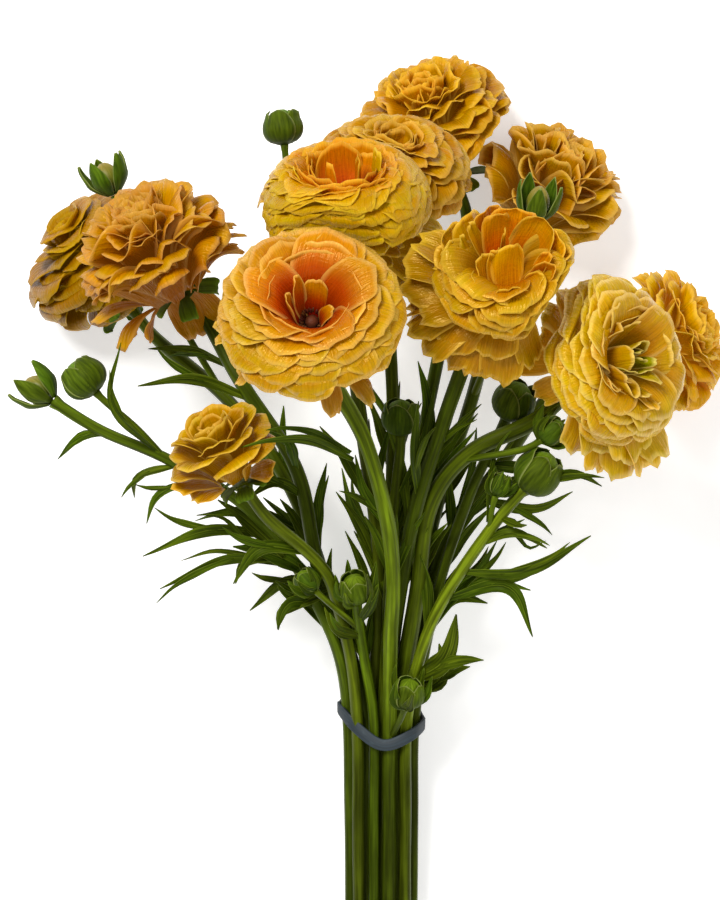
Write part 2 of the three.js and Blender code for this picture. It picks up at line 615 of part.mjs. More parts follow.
// Everything green that grew as one: the stem with its shoots, buds and leaves.
function greenBody(strands) {
  const parts = [];
  strands.forEach((strand) => {
    const { kind, samples, radius, bud } = strand;
    if (kind === 'leaf') {
      parts.push(leafBlade(strand));
      return;
    }
    const end = samples[samples.length - 1];
    const short = strand.bloom ? PIECE_GAP + 2 : bud.length * (bud.open > 0 ? 0.5 : 0.3);
    const last = end.clone().addScaledVector(endDirection(samples), -short);
    const own = [...samples.filter((p) => p.distanceTo(end) >= short + 1), last];
    parts.push(tube(thinned(own), radius, strand.bloom ? 6 : 5));
    if (strand.bloom) {
      const { axis } = bloomFrame(strand.bloom);
      const wide = radius * RECEPTACLE.width;
      const { depth, shoulder } = RECEPTACLE;
      const profile = [[0, -depth], [radius * 0.9, -depth], [wide, -shoulder], [wide, -PIECE_GAP],
        [0, -PIECE_GAP]];
      parts.push(lathe(profile, end, axis, 8));
    }
    if (bud) {
      const axis = endDirection(samples);
      if (bud.open > 0) {
        const root = end.clone().addScaledVector(axis, -bud.length / 2);
        const wide = bud.radius * CUP.width;
        const cup = [[0, -CUP.depth], [radius, -CUP.depth], [wide, -CUP.shoulder], [wide, CUP_TOP / 2],
          [0, CUP_TOP]];
        parts.push(lathe(cup, root, axis, 8));
        parts.push(...openSepals(end, axis, bud.length, bud.radius, bud.open));
      } else {
        parts.push(budBody(end, axis, bud.length, bud.radius));
      }
    }
  });
  return joined(parts);
}

// ---- blooms ------------------------------------------------------------------

// Petals: the share of them inside the cup's rim, the innermost one's angle (degrees), their
// reach as shares of the bloom's outline, the roots' distance from the axis and depth below
// the middle as shares of the radius and the half depth, and the innermost one's bend.
const CUP_PETALS = 0.32;
const FIRST_ANGLE = 12;
const REACH = { first: 0.5, rim: 0.95, outer: 0.97, uneven: 0.03 };
const ROOTS = { open: 0.25, closed: 0.08, outer: 0.28, first: 0.3, last: 0.68 };
const FIRST_BEND = -32;
const PETAL_GRID = [2, 2];
const OUTER_GRID = [3, 2];        // for the outer petals of a bloom with an open cup
const PETAL_WIDTHS = [0.3, 0.6];  // half width of the first and the last, per radius
const HEART_FLOOR = 0.3;          // the cup's floor, this share of the half depth down

// Where petal k of a bloom starts and ends, in the half plane of the bloom's axis: distance
// from the axis and height above the bloom's middle.
function petalLine(bloom, u, jitter) {
  const inside = u < CUP_PETALS;
  const t = inside ? u / CUP_PETALS : (u - CUP_PETALS) / (1 - CUP_PETALS);
  const angle = radians(inside
    ? mix(FIRST_ANGLE, bloom.rim, t)
    : mix(bloom.rim, bloom.outer, Math.pow(t, 0.85)));
  const reach = (inside ? mix(REACH.first, REACH.rim, t) : REACH.outer) + REACH.uneven * jitter;
  const tip = [bloom.radius * reach * Math.sin(angle), bloom.half * reach * Math.cos(angle)];
  const nearest = bloom.hollow ? ROOTS.open : ROOTS.closed;
  const root = [mix(nearest, ROOTS.outer, u) * bloom.radius, -bloom.half * mix(ROOTS.first, ROOTS.last, u)];
  return { tip, root, bow: radians(mix(FIRST_BEND, bloom.droop, u)) };
}

function petalBlade(bloom, line, turn, halfWidth, wave, fronts, grid) {
  const { tip, root, bow } = line;
  const chord = Math.hypot(tip[0] - root[0], tip[1] - root[1]);
  const slope = Math.atan2(tip[1] - root[1], tip[0] - root[0]) + bow;
  const knee = [root[0] + 0.55 * chord * Math.cos(slope), root[1] + 0.55 * chord * Math.sin(slope)];
  const [columns, rows] = grid;
  return blade(columns, rows, PETAL_THICKNESS, (x, v) => {
    const s = v * (1 - 0.17 * x * x);
    const along = (i) => (1 - s) * (1 - s) * root[i] + 2 * s * (1 - s) * knee[i] + s * s * tip[i];
    const width = halfWidth * (0.34 + 0.66 * Math.sin(Math.min(1, v / 0.75) * Math.PI / 2));
    const ripple = wave * Math.sin(x * 2.6 + turn * 5) * v * v;
    const out = Math.max(0.5, along(0) + ripple * 0.6 + 0.7 * x);
    const angle = turn + x * Math.min(1.25, width / Math.max(out, 5));
    const point = bloom.centre.clone()
      .addScaledVector(bloom.across, out * Math.cos(angle))
      .addScaledVector(bloom.up, out * Math.sin(angle))
      .addScaledVector(bloom.axis, along(1) + ripple * 0.8);
    fronts.forEach((front) => pressBack(point, front));
    fronts.forEach((front) => pushOut(point, front, BLOOM_GAP));
    point.z = Math.max(point.z, PETAL_THICKNESS / 2 - 0.05);
    return point;
  });
}

// The petals stand out of a small solid middle and join it below its surface.
function bloomBody(id, fronts) {
  const hasCentre = id in BLOOM_WITH_CENTRE;
  const bloom = { ...bloomFrame(id), hollow: hasCentre };
  const { radius, half, centre, axis, petals, wave } = bloom;
  const core = radius * CORE_RADIUS;
  const foot = -half * BASE_DEPTH;
  const top = hasCentre ? -half * HEART_FLOOR : -half * 0.05;
  const profile = [[0, foot], [core * 0.55, foot], [core, mix(foot, top, 0.45)], [core * 0.62, top],
    [0, top]];
  const parts = [lathe(profile, centre, axis, 8)];
  for (let k = 0; k < petals; k += 1) {
    const u = k / (petals - 1);
    const line = petalLine(bloom, hasCentre ? mix(0.16, 1, u) : u, scatter(k * 7 + Number(id)) * 2 - 1);
    const halfWidth = mix(...PETAL_WIDTHS, u) * radius;
    const grid = hasCentre && u > 0.6 ? OUTER_GRID : PETAL_GRID;
    parts.push(petalBlade(bloom, line, k * GOLDEN_ANGLE, halfWidth, wave * mix(0.4, 1.2, u), fronts, grid));
  }
  (HANGING_PETALS[id] || []).forEach(([x, y, reach, drop]) => {
    const way = new THREE.Vector3(x, y, 0);
    const turn = Math.atan2(way.dot(bloom.up), way.dot(bloom.across));
    const line = { tip: [radius * reach, half * drop], root: [radius * 0.26, -half * 0.72], bow: radians(8) };
    parts.push(petalBlade(bloom, line, turn, radius * 0.34, wave, fronts, PETAL_GRID));
  });
  return joined(parts);
}

// The tight middle of an open bloom: small scales pressed into a button.
function bloomCentre(id) {
  const { radius, half, centre, axis } = bloomFrame(id);
  const wide = radius * 0.13;
  const foot = -half * HEART_FLOOR + PIECE_GAP;
  const profile = [[0, foot], [wide, foot], [wide * 1.15, foot + wide * 0.6],
    [wide * 0.55, foot + wide * 1.5], [0, foot + wide * 1.6]];
  return lathe(profile, centre, axis, 9);
}

// ---- the rubber band -----------------------------------------------------------

// The stems' outline round the bundle at one angle, as a distance from the bundle's middle.
function outlineReach(stems, angle, y) {
  const [nx, nz] = [Math.cos(angle), Math.sin(angle)];
  const reaches = stems.flatMap((strand) => strand.samples
    .filter((p) => Math.abs(p.y - y) < BAND_WIDTH)
    .map((p) => (p.x - BUNCH_X) * nx + (p.z - BAND_Z) * nz + strand.radius));
  return Math.max(...reaches);
}

function rubberBand(stems) {
  const step = 2 * Math.PI / BAND_SIDES;
  const bandY = (angle) => BAND_Y - BAND_SLOPE * BAND_HALF_HEIGHT * Math.sin(angle);
  const ring = [];
  for (let i = 0; i < BAND_SIDES; i += 1) {
    const [a, b] = [i * step, (i + 1) * step];
    const y = bandY(a + step / 2);
    const [ra, rb] = [a, b].map((side) => outlineReach(stems, side, y) + BAND_AIR);
    const x = (ra * Math.sin(b) - rb * Math.sin(a)) / Math.sin(b - a);
    const z = (rb * Math.cos(a) - ra * Math.cos(b)) / Math.sin(b - a);
    const angle = a + step / 2;
    const normal = new THREE.Vector3(Math.cos(angle), 0, Math.sin(angle));
    ring.push({ p: new THREE.Vector3(BUNCH_X + x, bandY(angle), BAND_Z + z), normal });
  }
  const corners = [];
  ring.forEach(({ p, normal }, i) => {
    const before = ring[(i + BAND_SIDES - 1) % BAND_SIDES];
    const ahead = ring[(i + 1) % BAND_SIDES].p.clone().sub(before.p).normalize();
    const wide = new THREE.Vector3().crossVectors(ahead, normal).normalize().multiplyScalar(BAND_WIDTH / 2);
    for (const [side, out] of [[-1, 0], [1, 0], [1, BAND_THICKNESS], [-1, BAND_THICKNESS]]) {
      corners.push(...p.clone().addScaledVector(wide, side).addScaledVector(normal, out).toArray());
    }
  });
  const index = [];
  for (let i = 0; i < BAND_SIDES; i += 1) {
    const here = i * 4;
    const next = ((i + 1) % BAND_SIDES) * 4;
    for (let k = 0; k < 4; k += 1) {
      const l = (k + 1) % 4;
      index.push(here + k, next + k, next + l, here + k, next + l, here + l);
    }
  }
  const geometry = new THREE.BufferGeometry();
  geometry.setAttribute('position', new THREE.Float32BufferAttribute(corners, 3));
  geometry.setIndex(index);
  return solid(geometry);
}

// ---- the whole bunch -----------------------------------------------------------

const bloomFrames = BLOOM_ORDER.map((id) => ({ id, ...bloomFrame(id) }));
const stems = stemStrands();
const strands = [...stems, ...shootStrands(stems), ...leafStrands(stems)];
strands.forEach(widenForBud);
relax(strands, bloomFrames);

// What lies on the table is cut level there, so that the bunch rests on small flat spots.
const belowTable = solid(new THREE.BoxGeometry(...TABLE_BLOCK).translate(0, 0, -TABLE_BLOCK[2] / 2));
const onTable = (body) => body.subtract(belowTable);

const bunch = new THREE.Group();
for (const stem of STEMS) {
  const own = strands.filter((strand) => strand.stem === stem.id);
  const label = stem.bloom ? 'flower_stem_' : 'bud_stem_';
  bunch.add(namedMesh(label + stem.id, onTable(greenBody(own)), GREENS.stem, 0.5));
  own.filter((strand) => strand.bud && strand.bud.open > 0).forEach((strand) => {
    const { bud, samples } = strand;
    const axis = endDirection(samples);
    const high = bud.length * BUD_HEART_HEIGHT;
    const lift = CUP_TOP + PIECE_GAP + high / 2 - bud.length / 2;
    const middle = samples[samples.length - 1].clone().addScaledVector(axis, lift);
    const heart = budBody(middle, axis, high, bud.radius * BUD_HEART_WIDTH);
    const name = 'bud_petals_' + stem.id + (strand.kind === 'stem' ? '' : '_side');
    bunch.add(namedMesh(name, heart, BUD_PETAL_COLOUR, 0.5));
  });
}
BLOOM_ORDER.forEach((id, order) => {
  const fronts = bloomFrames.slice(0, order);
  bunch.add(namedMesh('bloom_' + id, onTable(bloomBody(id, fronts)), BLOOMS[id].colour, 0.45));
  if (id in BLOOM_WITH_CENTRE) {
    bunch.add(namedMesh('centre_' + id, bloomCentre(id), BLOOM_WITH_CENTRE[id], 0.6));
  }
});
bunch.add(namedMesh('rubber_band', rubberBand(stems), BAND_COLOUR, 0.7));

// The origin is the middle of the bunch's outline, on the table.
const outline = new THREE.Box3().setFromObject(bunch);
const middle = outline.getCenter(new THREE.Vector3());
bunch.position.set(-middle.x, -middle.y, 0);

export default bunch;
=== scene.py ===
import json
import math

import bpy
import numpy as np
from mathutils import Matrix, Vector

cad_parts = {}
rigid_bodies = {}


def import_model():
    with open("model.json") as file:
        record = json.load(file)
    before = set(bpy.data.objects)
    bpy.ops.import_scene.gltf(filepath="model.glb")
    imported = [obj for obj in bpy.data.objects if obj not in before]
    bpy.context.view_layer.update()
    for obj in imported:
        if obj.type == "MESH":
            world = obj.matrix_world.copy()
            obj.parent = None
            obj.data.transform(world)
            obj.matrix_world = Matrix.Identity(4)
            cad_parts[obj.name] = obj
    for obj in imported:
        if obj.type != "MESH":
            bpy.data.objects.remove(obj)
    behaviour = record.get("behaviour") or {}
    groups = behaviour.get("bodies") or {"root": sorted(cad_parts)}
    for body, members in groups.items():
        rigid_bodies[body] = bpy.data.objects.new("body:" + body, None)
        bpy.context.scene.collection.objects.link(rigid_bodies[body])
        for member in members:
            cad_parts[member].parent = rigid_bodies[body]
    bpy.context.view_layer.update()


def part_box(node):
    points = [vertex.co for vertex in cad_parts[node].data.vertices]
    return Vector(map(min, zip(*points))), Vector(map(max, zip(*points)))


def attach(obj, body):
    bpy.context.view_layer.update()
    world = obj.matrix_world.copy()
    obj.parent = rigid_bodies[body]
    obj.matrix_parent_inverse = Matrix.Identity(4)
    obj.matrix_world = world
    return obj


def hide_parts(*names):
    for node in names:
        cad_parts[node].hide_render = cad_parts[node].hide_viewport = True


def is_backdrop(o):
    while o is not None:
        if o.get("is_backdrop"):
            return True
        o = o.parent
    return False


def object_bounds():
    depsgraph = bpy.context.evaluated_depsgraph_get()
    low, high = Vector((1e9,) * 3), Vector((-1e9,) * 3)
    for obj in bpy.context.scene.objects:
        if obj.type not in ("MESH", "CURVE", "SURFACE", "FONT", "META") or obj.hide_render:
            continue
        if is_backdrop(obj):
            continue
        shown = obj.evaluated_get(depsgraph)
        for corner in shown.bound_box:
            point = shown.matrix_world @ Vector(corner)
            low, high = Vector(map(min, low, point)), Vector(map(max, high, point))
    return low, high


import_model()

MM = 0.001

# ---- driving dimensions (mm) -------------------------------------------------------

GOLDEN_ANGLE = math.pi * (3 - math.sqrt(5))   # turn from one petal to the next
PIECE_GAP = 0.35      # between a bloom and its receptacle
BUNCH_X = 9.5         # middle of the stems where the band holds them
BAND_Y = -116.0       # the band's middle, along the stems
BAND_Z = 29.0         # height of the stems' middle at the band
BAND_SLOPE = 1.1      # how far the band leans toward the cut ends per mm of height
BAND_WIDTH = 5.0
BAND_THICKNESS = 1.3
BAND_SIDES = 28
END_Y = -208.0        # nearest cut stem end
END_Z = 11.9          # height of the stems' middle at the cut ends
END_STAGGER = 14.0    # cut ends differ by up to this much
SLOT_X = 7.2          # spacing of stems beside each other at the band
SLOT_Z = 6.5          # spacing of the stems' rows at the band
END_SQUEEZE = 0.92    # the bundle is narrower at the cut ends
HALFWAY_SQUEEZE = 0.96   # and halfway from the band to them
HALFWAY_RISE = 0.45   # where it has come this share of the way up to the band
NECK_LENGTH = 20      # a flower stem's last stretch points the way its bloom faces
BAND_HALF_HEIGHT = 11
BAND_AIR = 0.6        # between the band and the stems that it holds
ROW_LENGTHS = (3, 4, 5, 4)

SAMPLE_STEP = 4.0     # spacing of the points that keep strands apart
STRAND_GAP = 0.9      # air kept between stems, shoots and leaves
BLOOM_GAP = 1.2       # air kept between a bloom and what passes it
PRESS_DEPTH = 0.72    # petals this deep in the outline of a bloom in front end on it
PRESS_REACH = 1.25    # and petals this far out aren't moved
RELAX_ROUNDS = 120
SETTLE_ROUNDS = 12    # the last rounds only push and no longer smooth
LONGEST_PUSH = 1      # in one round
SMOOTHING = 0.35      # how far a moved point follows its neighbours' moves
PRESSED = 0.76        # a stem on the table lies this share of its radius above it
BUD_REACH = 0.45      # a bud counts as wide over this share of its length
BUD_AIR = 0.6
BASE_DEPTH = 0.86     # the receptacle lies this share of the half depth below the middle
CUP_TOP = 1.6         # height of an open bud's small cup, on which its petals sit
BUD_HEART_HEIGHT = 0.72   # petals of an open bud, as shares of its length and radius
BUD_HEART_WIDTH = 0.6

# Each bloom from front to back: middle, the way that it faces, radius, half depth, and
# the angles of its cup's rim and of its outermost petals from the way that it faces.
BLOOM_PLACES = {
    "03": ((-19, 52, 165), (0, 0.25, 0.97), 38, 22, 36, 102),
    "08": ((54, 68, 150), (0.08, 0.3, 0.95), 36.5, 22, 34, 104),
    "09": ((102, 32, 128), (0.3, 0.1, 0.95), 34.5, 25, 28, 106),
    "04": ((-6, 99, 125), (-0.05, 0.9, 0.42), 35, 27, 20, 100),
    "02": ((-84, 80, 103), (-0.35, 0.45, 0.7), 34, 28, 16, 102),
    "11": ((-56, -1, 118), (-0.45, 0.72, 0.5), 24, 19, 26, 98),
    "05": ((13, 115, 79), (0.05, 0.93, 0.3), 34.5, 26, 18, 100),
    "07": ((82, 114, 25), (0.4, 0.7, 0.5), 34, 28, 16, 102),
    "10": ((132, 47, 28), (0.85, 0.25, 0.15), 33, 26, 18, 102),
    "06": ((33, 142, 26.4), (-0.3, 0.8, 0.35), 34, 29, 16, 102),
    "01": ((-115, 82, 29.8), (-0.55, 0.7, -0.1), 34, 27, 18, 102),
}

# Stems: radius, row and column at the band, points on the way to the head, and the
# bloom, or the bud as (place, length, radius, how far it is open).
STEMS = {
    "01": (2.8, (1, 0), ((-24, -30, 48), (-53, 17, 44)), "01", None),
    "02": (3.0, (2, 1), ((-18, -50, 58), (-27, -8, 68), (-50, 28, 74)), "02", None),
    "03": (3.2, (3, 2), ((13, -80, 58), (14, -54, 78), (11, -28, 96), (2, 4, 110), (-9, 24, 116)),
           "03", None),
    "04": (2.9, (1, 1), ((8, -45, 64), (1, 8, 84), (-3, 38, 98)), "04", None),
    "05": (2.8, (0, 1), ((13, -40, 46), (14, 20, 56)), "05", None),
    "06": (2.8, (0, 0), ((20, -30, 34), (34, 40, 28), (44, 85, 20)), "06", None),
    "07": (2.8, (0, 2), ((32, -30, 36), (50, 26, 28)), "07", None),
    "08": (3.1, (1, 2), ((20, -50, 66), (28, -8, 86), (40, 28, 102)), "08", None),
    "09": (3.5, (2, 3), ((22, -51, 64), (29, -21, 78), (46, 0, 88), (74, 14, 90)), "09", None),
    "10": (2.9, (1, 3), ((35, -45, 44), (62, -5, 42)), "10", None),
    "11": (2.6, (3, 0), ((-6, -80, 58), (-18, -50, 80)), "11", None),
    "12": (2.4, (2, 0), ((-8, -88, 46), (-20, -62, 58), (-33, -40, 68), (-54, -19, 78),
                         (-82, -3, 84), (-108, 8, 87), (-126, 19, 88)),
           None, ((-135, 26, 87), 17, 8.5, 0.7)),
    "13": (2.5, (3, 3), ((27, -84, 56), (36, -62, 70), (54, -33, 88), (65, -17, 97)),
           None, ((72, -6, 102), 19, 8.5, 0)),
    "14": (2.3, (2, 4), ((33, -62, 50), (47, -18, 66), (60, 8, 78)),
           None, ((65, 20, 85), 17, 8, 0)),
    "15": (2.3, (2, 2), ((15, -60, 62), (15, -28, 72), (17, 0, 82)),
           None, ((17, 14, 87), 15, 7, 0)),
    "16": (2.2, (3, 1), ((2, -90, 50), (-1, -70, 66)), None, ((-2, -58, 76), 13, 6, 0)),
}

# Side shoots: the stem, where along Y they leave it, radius, points on the way, bud.
SHOOTS = (
    ("05", 12, 1.5, ((-18, 60, 62), (-29, 104, 60)), ((-33, 138, 60), 15, 7.5, 0)),
    ("01", 22, 1.5, ((-80, 60, 60), (-97, 92, 68)), ((-107, 116, 72), 17, 8.5, 0.75)),
    ("12", -3, 1.5, ((-94, 10, 91), (-107, 21, 94)), ((-115, 30, 94), 16, 8.2, 0)),
    ("07", 24, 1.5, ((62, 56, 58), (70, 84, 82)), ((74, 104, 93), 19, 8, 0.5)),
    ("09", -4, 1.4, ((68, 0, 104),), ((79, 8, 110), 11, 5, 0)),
    ("16", -76, 1.3, ((-12, -62, 74),), ((-19, -53, 78), 10, 4.5, 0)),
    ("03", -124, 1.4, ((19, -112, 52),), ((21, -103, 57), 13, 6, 0)),
    ("13", -32, 1.2, ((55, -22, 97),), ((58, -14, 99), 9, 3.8, 0)),
)

# Leaves: the stem, where along Y they leave it, tip, bow of the middle, half width.
LEAVES = (
    ("02", 22, (-94, 27, 72), (0, 6, 6), 2.6), ("02", 34, (-90, 43, 64), (0, 4, -4), 2.2),
    ("12", -3, (-98, 44, 112), (-12, -2, 8), 1.7), ("12", 6, (-127, -4, 80), (0, 5, 3), 2.0),
    ("12", -6, (-95, -20, 76), (-8, 2, 5), 1.9), ("12", -12, (-90, -31, 74), (-7, 3, 4), 1.8),
    ("12", -36, (-92, -45, 70), (0, 7, 5), 2.6), ("12", -48, (-85, -59, 66), (0, 8, 4), 2.4),
    ("01", -38, (-70, -28, 54), (0, 6, 0), 2.4), ("11", -44, (-53, -56, 84), (-4, 9, 6), 3.0),
    ("12", -66, (-35, -76, 66), (-4, 6, 5), 3.0), ("02", -8, (-42, 7, 92), (4, 5, 8), 2.4),
    ("02", -20, (-48, -22, 74), (0, 7, 4), 2.4), ("01", -60, (-48, -70, 30), (0, 8, 4), 2.6),
    ("06", -50, (-8, -8, 14), (-6, 0, -2), 2.4), ("13", -17, (100, -15, 100), (4, 8, 6), 2.6),
    ("13", -50, (97, -36, 80), (0, -7, 6), 2.8), ("13", -62, (73, -79, 70), (8, 14, 8), 3.0),
    ("14", -62, (73, -60, 56), (0, 6, 4), 2.6), ("10", -76, (55, -66, 46), (0, 7, 4), 3.2),
    ("13", -40, (78, -41, 90), (0, 6, 5), 2.2), ("13", -28, (69, -31, 102), (4, -3, 5), 2.0),
    ("13", -100, (41, -70, 60), (5, -4, 5), 4.6), ("14", -104, (36, -84, 58), (5, -4, 4), 4.0),
    ("07", -70, (60, -40, 20), (6, -3, -2), 2.8), ("15", -24, (31, 26, 96), (4, 0, 3), 2.6),
    ("15", -36, (-2, -2, 84), (-4, 0, 3), 2.4), ("14", -6, (80, 0, 74), (2, -4, 3), 2.6),
    ("16", -80, (-15, -66, 80), (-3, -3, 4), 2.6), ("16", -72, (7, -48, 86), (2, -2, 5), 2.6),
    ("08", -20, (24, 20, 112), (-2, 0, 3), 2.4), ("10", -20, (92, -18, 40), (4, -6, 2), 2.6),
)

# ---- small helpers -----------------------------------------------------------------


def unit(v):
    v = np.asarray(v, float)
    return v / np.linalg.norm(v)


def mix(a, b, t):
    return a + (b - a) * t


def smooth(low, high, t):
    """0 below low, 1 above high, and a soft step between them."""
    s = np.clip((t - low) / (high - low), 0, 1)
    return s * s * (3 - 2 * s)


def scatter(n):
    """A steady pseudo-random number from 0 to 1 for a number."""
    s = math.sin(n * 12.9898 + 4.1414) * 43758.5453
    return s - math.floor(s)


def jitter(n):
    return scatter(n) * 2 - 1


def frame_about(axis):
    """Two unit vectors square to an axis, the first one level."""
    reference = (0, 1, 0) if abs(axis[2]) > 0.98 else (0, 0, 1)
    across = unit(np.cross(reference, axis))
    return across, unit(np.cross(axis, across))


# ---- where everything lies ---------------------------------------------------------


class Bloom:
    """A flower head's place and its rounded outline."""

    def __init__(self, name, centre, faces, radius, half, rim, outer):
        self.name, self.radius, self.half, self.rim, self.outer = name, radius, half, rim, outer
        self.centre, self.axis = np.array(centre, float), unit(faces)
        self.across, self.up = frame_about(self.axis)
        self.base = self.centre - self.axis * half * BASE_DEPTH
        self.pole, self.pole_across, self.pole_up = self.axis, self.across, self.up
        self.tall, self.moved = radius, np.zeros(3)

    def grow_toward(self, pole):
        """Turns the line that the petals grow round, inside the same outline."""
        self.pole = unit(pole)
        self.pole_across, self.pole_up = frame_about(self.pole)

    def ways(self, turn):
        """Away from the pole line at a turn, and on round it."""
        away = self.pole_across * math.cos(turn) + self.pole_up * math.sin(turn)
        return away, self.pole_up * math.cos(turn) - self.pole_across * math.sin(turn)

    def size_of(self, points, margin):
        """How far out points lie in the outline grown by a margin: 1 is on it."""
        local = points - self.centre
        flat = (local @ self.across / (self.radius + margin)) ** 2
        flat = flat + (local @ self.up / (self.tall + margin)) ** 2
        return np.sqrt(flat + (local @ self.axis / (self.half + margin)) ** 2)

    def scaled(self, points, factor):
        return self.centre + (points - self.centre) * factor[..., None]

    def push_out(self, points, margin):
        size = self.size_of(points, margin)
        return self.scaled(points, np.where((size < 1) & (size > 1e-6), 1 / np.maximum(size, 1e-6), 1))

    def press_back(self, points):
        """Presses petals of a bloom behind away, with their layers kept in order."""
        size = self.size_of(points, BLOOM_GAP)
        share = np.maximum(0, size - PRESS_DEPTH) / (PRESS_REACH - PRESS_DEPTH)
        factor = np.where((size >= PRESS_REACH) | (size < 1e-6), 1,
                          mix(1, PRESS_REACH, share) / np.maximum(size, 1e-6))
        return self.scaled(points, factor)


BLOOMS = {name: Bloom(name, *place) for name, place in BLOOM_PLACES.items()}


def curve_points(points, count=None, step=SAMPLE_STEP):
    """Evenly spaced points on a smooth curve through the given ones."""
    p = np.asarray(points, float)
    ends = np.vstack([2 * p[0] - p[1], p, 2 * p[-1] - p[-2]])
    t = np.linspace(0, len(p) - 1, 201)

    def at(t):
        i = np.minimum(t.astype(int), len(p) - 2)
        w = (t - i)[:, None]
        a, b, c, d = ends[i], ends[i + 1], ends[i + 2], ends[i + 3]
        ta, tb = 0.5 * (c - a), 0.5 * (d - b)
        return b + ta * w + (3 * (c - b) - 2 * ta - tb) * w ** 2 + (2 * (b - c) + ta + tb) * w ** 3

    lengths = np.concatenate([[0], np.cumsum(np.linalg.norm(np.diff(at(t), axis=0), axis=1))])
    pieces = count or max(3, round(lengths[-1] / step))
    return at(np.interp(np.linspace(0, lengths[-1], pieces + 1), lengths, t))


class Strand:
    """A stem, shoot or leaf rib as a row of points that are kept clear of the others. A side
    strand starts at its parent's sample of that index, and a leaf has a half width."""

    def __init__(self, stem, kind, points, radius, bloom=None, bud=None, parent=None, index=0,
                 half=0):
        self.stem, self.kind, self.radius, self.half = stem, kind, radius, half
        self.bloom, self.bud, self.parent, self.index = bloom, bud, parent, index
        self.samples = curve_points(points)
        self.rest = self.samples.copy()
        self.radii = np.full(len(self.samples), float(radius))
        if bud:
            _, length, bud_radius, _ = bud
            near = np.linalg.norm(self.samples - self.samples[-1], axis=1) < length * BUD_REACH
            self.radii[near] = bud_radius + BUD_AIR

    def end_direction(self):
        return unit(self.samples[-1] - self.samples[-3])


def stem_strands():
    strands = []
    for number, (name, (radius, (row, column), via, bloom, bud)) in enumerate(STEMS.items()):
        dx = (column - (ROW_LENGTHS[row] - 1) / 2) * SLOT_X
        dz = (row - (len(ROW_LENGTHS) - 1) / 2) * SLOT_Z
        points = [
            (BUNCH_X + dx * END_SQUEEZE, END_Y - END_STAGGER * scatter(number + 1), END_Z + dz),
            (BUNCH_X + dx * HALFWAY_SQUEEZE, mix(END_Y, BAND_Y, 0.5),
             mix(END_Z, BAND_Z, HALFWAY_RISE) + dz),
            (BUNCH_X + dx, BAND_Y, BAND_Z + dz), *via]
        if bloom:
            head = BLOOMS[bloom]
            points += [head.base - head.axis * NECK_LENGTH, head.base]
        else:
            points.append(bud[0])
        strands.append(Strand(name, "stem", points, radius, bloom, bud))
    return strands


def side_start(stems, stem, leaves_at):
    parent = next(strand for strand in stems if strand.stem == stem)
    index = int(np.argmin(np.abs(parent.samples[:, 1] - leaves_at)))
    return parent, index, parent.samples[index].copy()


def side_strands(stems):
    strands = []
    for stem, leaves_at, radius, via, bud in SHOOTS:
        parent, index, start = side_start(stems, stem, leaves_at)
        points = [start, *via, bud[0]]
        strands.append(Strand(stem, "shoot", points, radius, None, bud, parent, index))
    for stem, leaves_at, tip, bow, half in LEAVES:
        parent, index, start = side_start(stems, stem, leaves_at)
        middle = mix(start, np.array(tip, float), 0.5) + bow
        strands.append(Strand(stem, "leaf", [start, middle, tip], half * 0.8, None, None,
                              parent, index, half))
    return strands


def relax(strands):
    """Pushes strands of different stems apart a little at a time, and keeps them smooth."""
    radii = np.concatenate([s.radii for s in strands])
    owner = np.concatenate([np.full(len(s.samples), int(s.stem)) for s in strands])
    need = radii[:, None] + radii[None, :] + STRAND_GAP
    need[owner[:, None] == owner[None, :]] = 0
    starts = np.cumsum([0] + [len(s.samples) for s in strands])
    for turn in range(RELAX_ROUNDS):
        spots = np.concatenate([s.samples for s in strands])
        squares = (spots ** 2).sum(1)
        near = squares[:, None] + squares[None, :] - 2 * spots @ spots.T < need ** 2 + 1e-3
        a, b = np.nonzero(near & (need > 0))
        gap = spots[a] - spots[b]
        distance = np.linalg.norm(gap, axis=1) + 1e-6
        share = np.maximum(0, 0.5 * (need[a, b] - distance) / distance)
        push = np.zeros_like(spots)
        np.add.at(push, a, gap * share[:, None])
        size = np.linalg.norm(push, axis=1)
        push /= np.maximum(size / LONGEST_PUSH, 1)[:, None]
        for number, strand in enumerate(strands):
            own_push = push[starts[number]:starts[number + 1]]
            settle(strand, own_push, turn > RELAX_ROUNDS - SETTLE_ROUNDS)
        for strand in strands:
            if strand.parent:
                strand.samples[0] = strand.parent.samples[strand.index]


def settle(strand, push, last):
    """Moves one strand, out of every bloom but its own, and spreads the move along it."""
    held = len(strand.samples) - (3 if strand.bloom else 0)
    spots = strand.samples[:held] + push[:held]
    for name, bloom in BLOOMS.items():
        if strand.bloom != name:
            spots = bloom.push_out(spots, strand.radii[:held] + BLOOM_GAP)
    spots[:, 2] = np.maximum(spots[:, 2], strand.radii[:held] * PRESSED)
    strand.samples[:held] = spots
    if not last:
        moved = strand.samples - strand.rest
        around = 0.5 * (moved[:held - 2] + moved[2:held])
        inner = slice(1, held - 1)
        strand.samples[inner] = strand.rest[inner] + mix(moved[inner], around, SMOOTHING)


STEM_STRANDS = stem_strands()
STRANDS = STEM_STRANDS + side_strands(STEM_STRANDS)
relax(STRANDS)


def outline_reach(angle, y):
    """The stems' outline round the bundle at an angle, from the bundle's middle."""
    away = np.array([math.cos(angle), 0, math.sin(angle)])
    reaches = []
    for strand in STEM_STRANDS:
        near = strand.samples[np.abs(strand.samples[:, 1] - y) < BAND_WIDTH]
        reaches += list((near - (BUNCH_X, 0, BAND_Z)) @ away + strand.radius)
    return max(reaches)


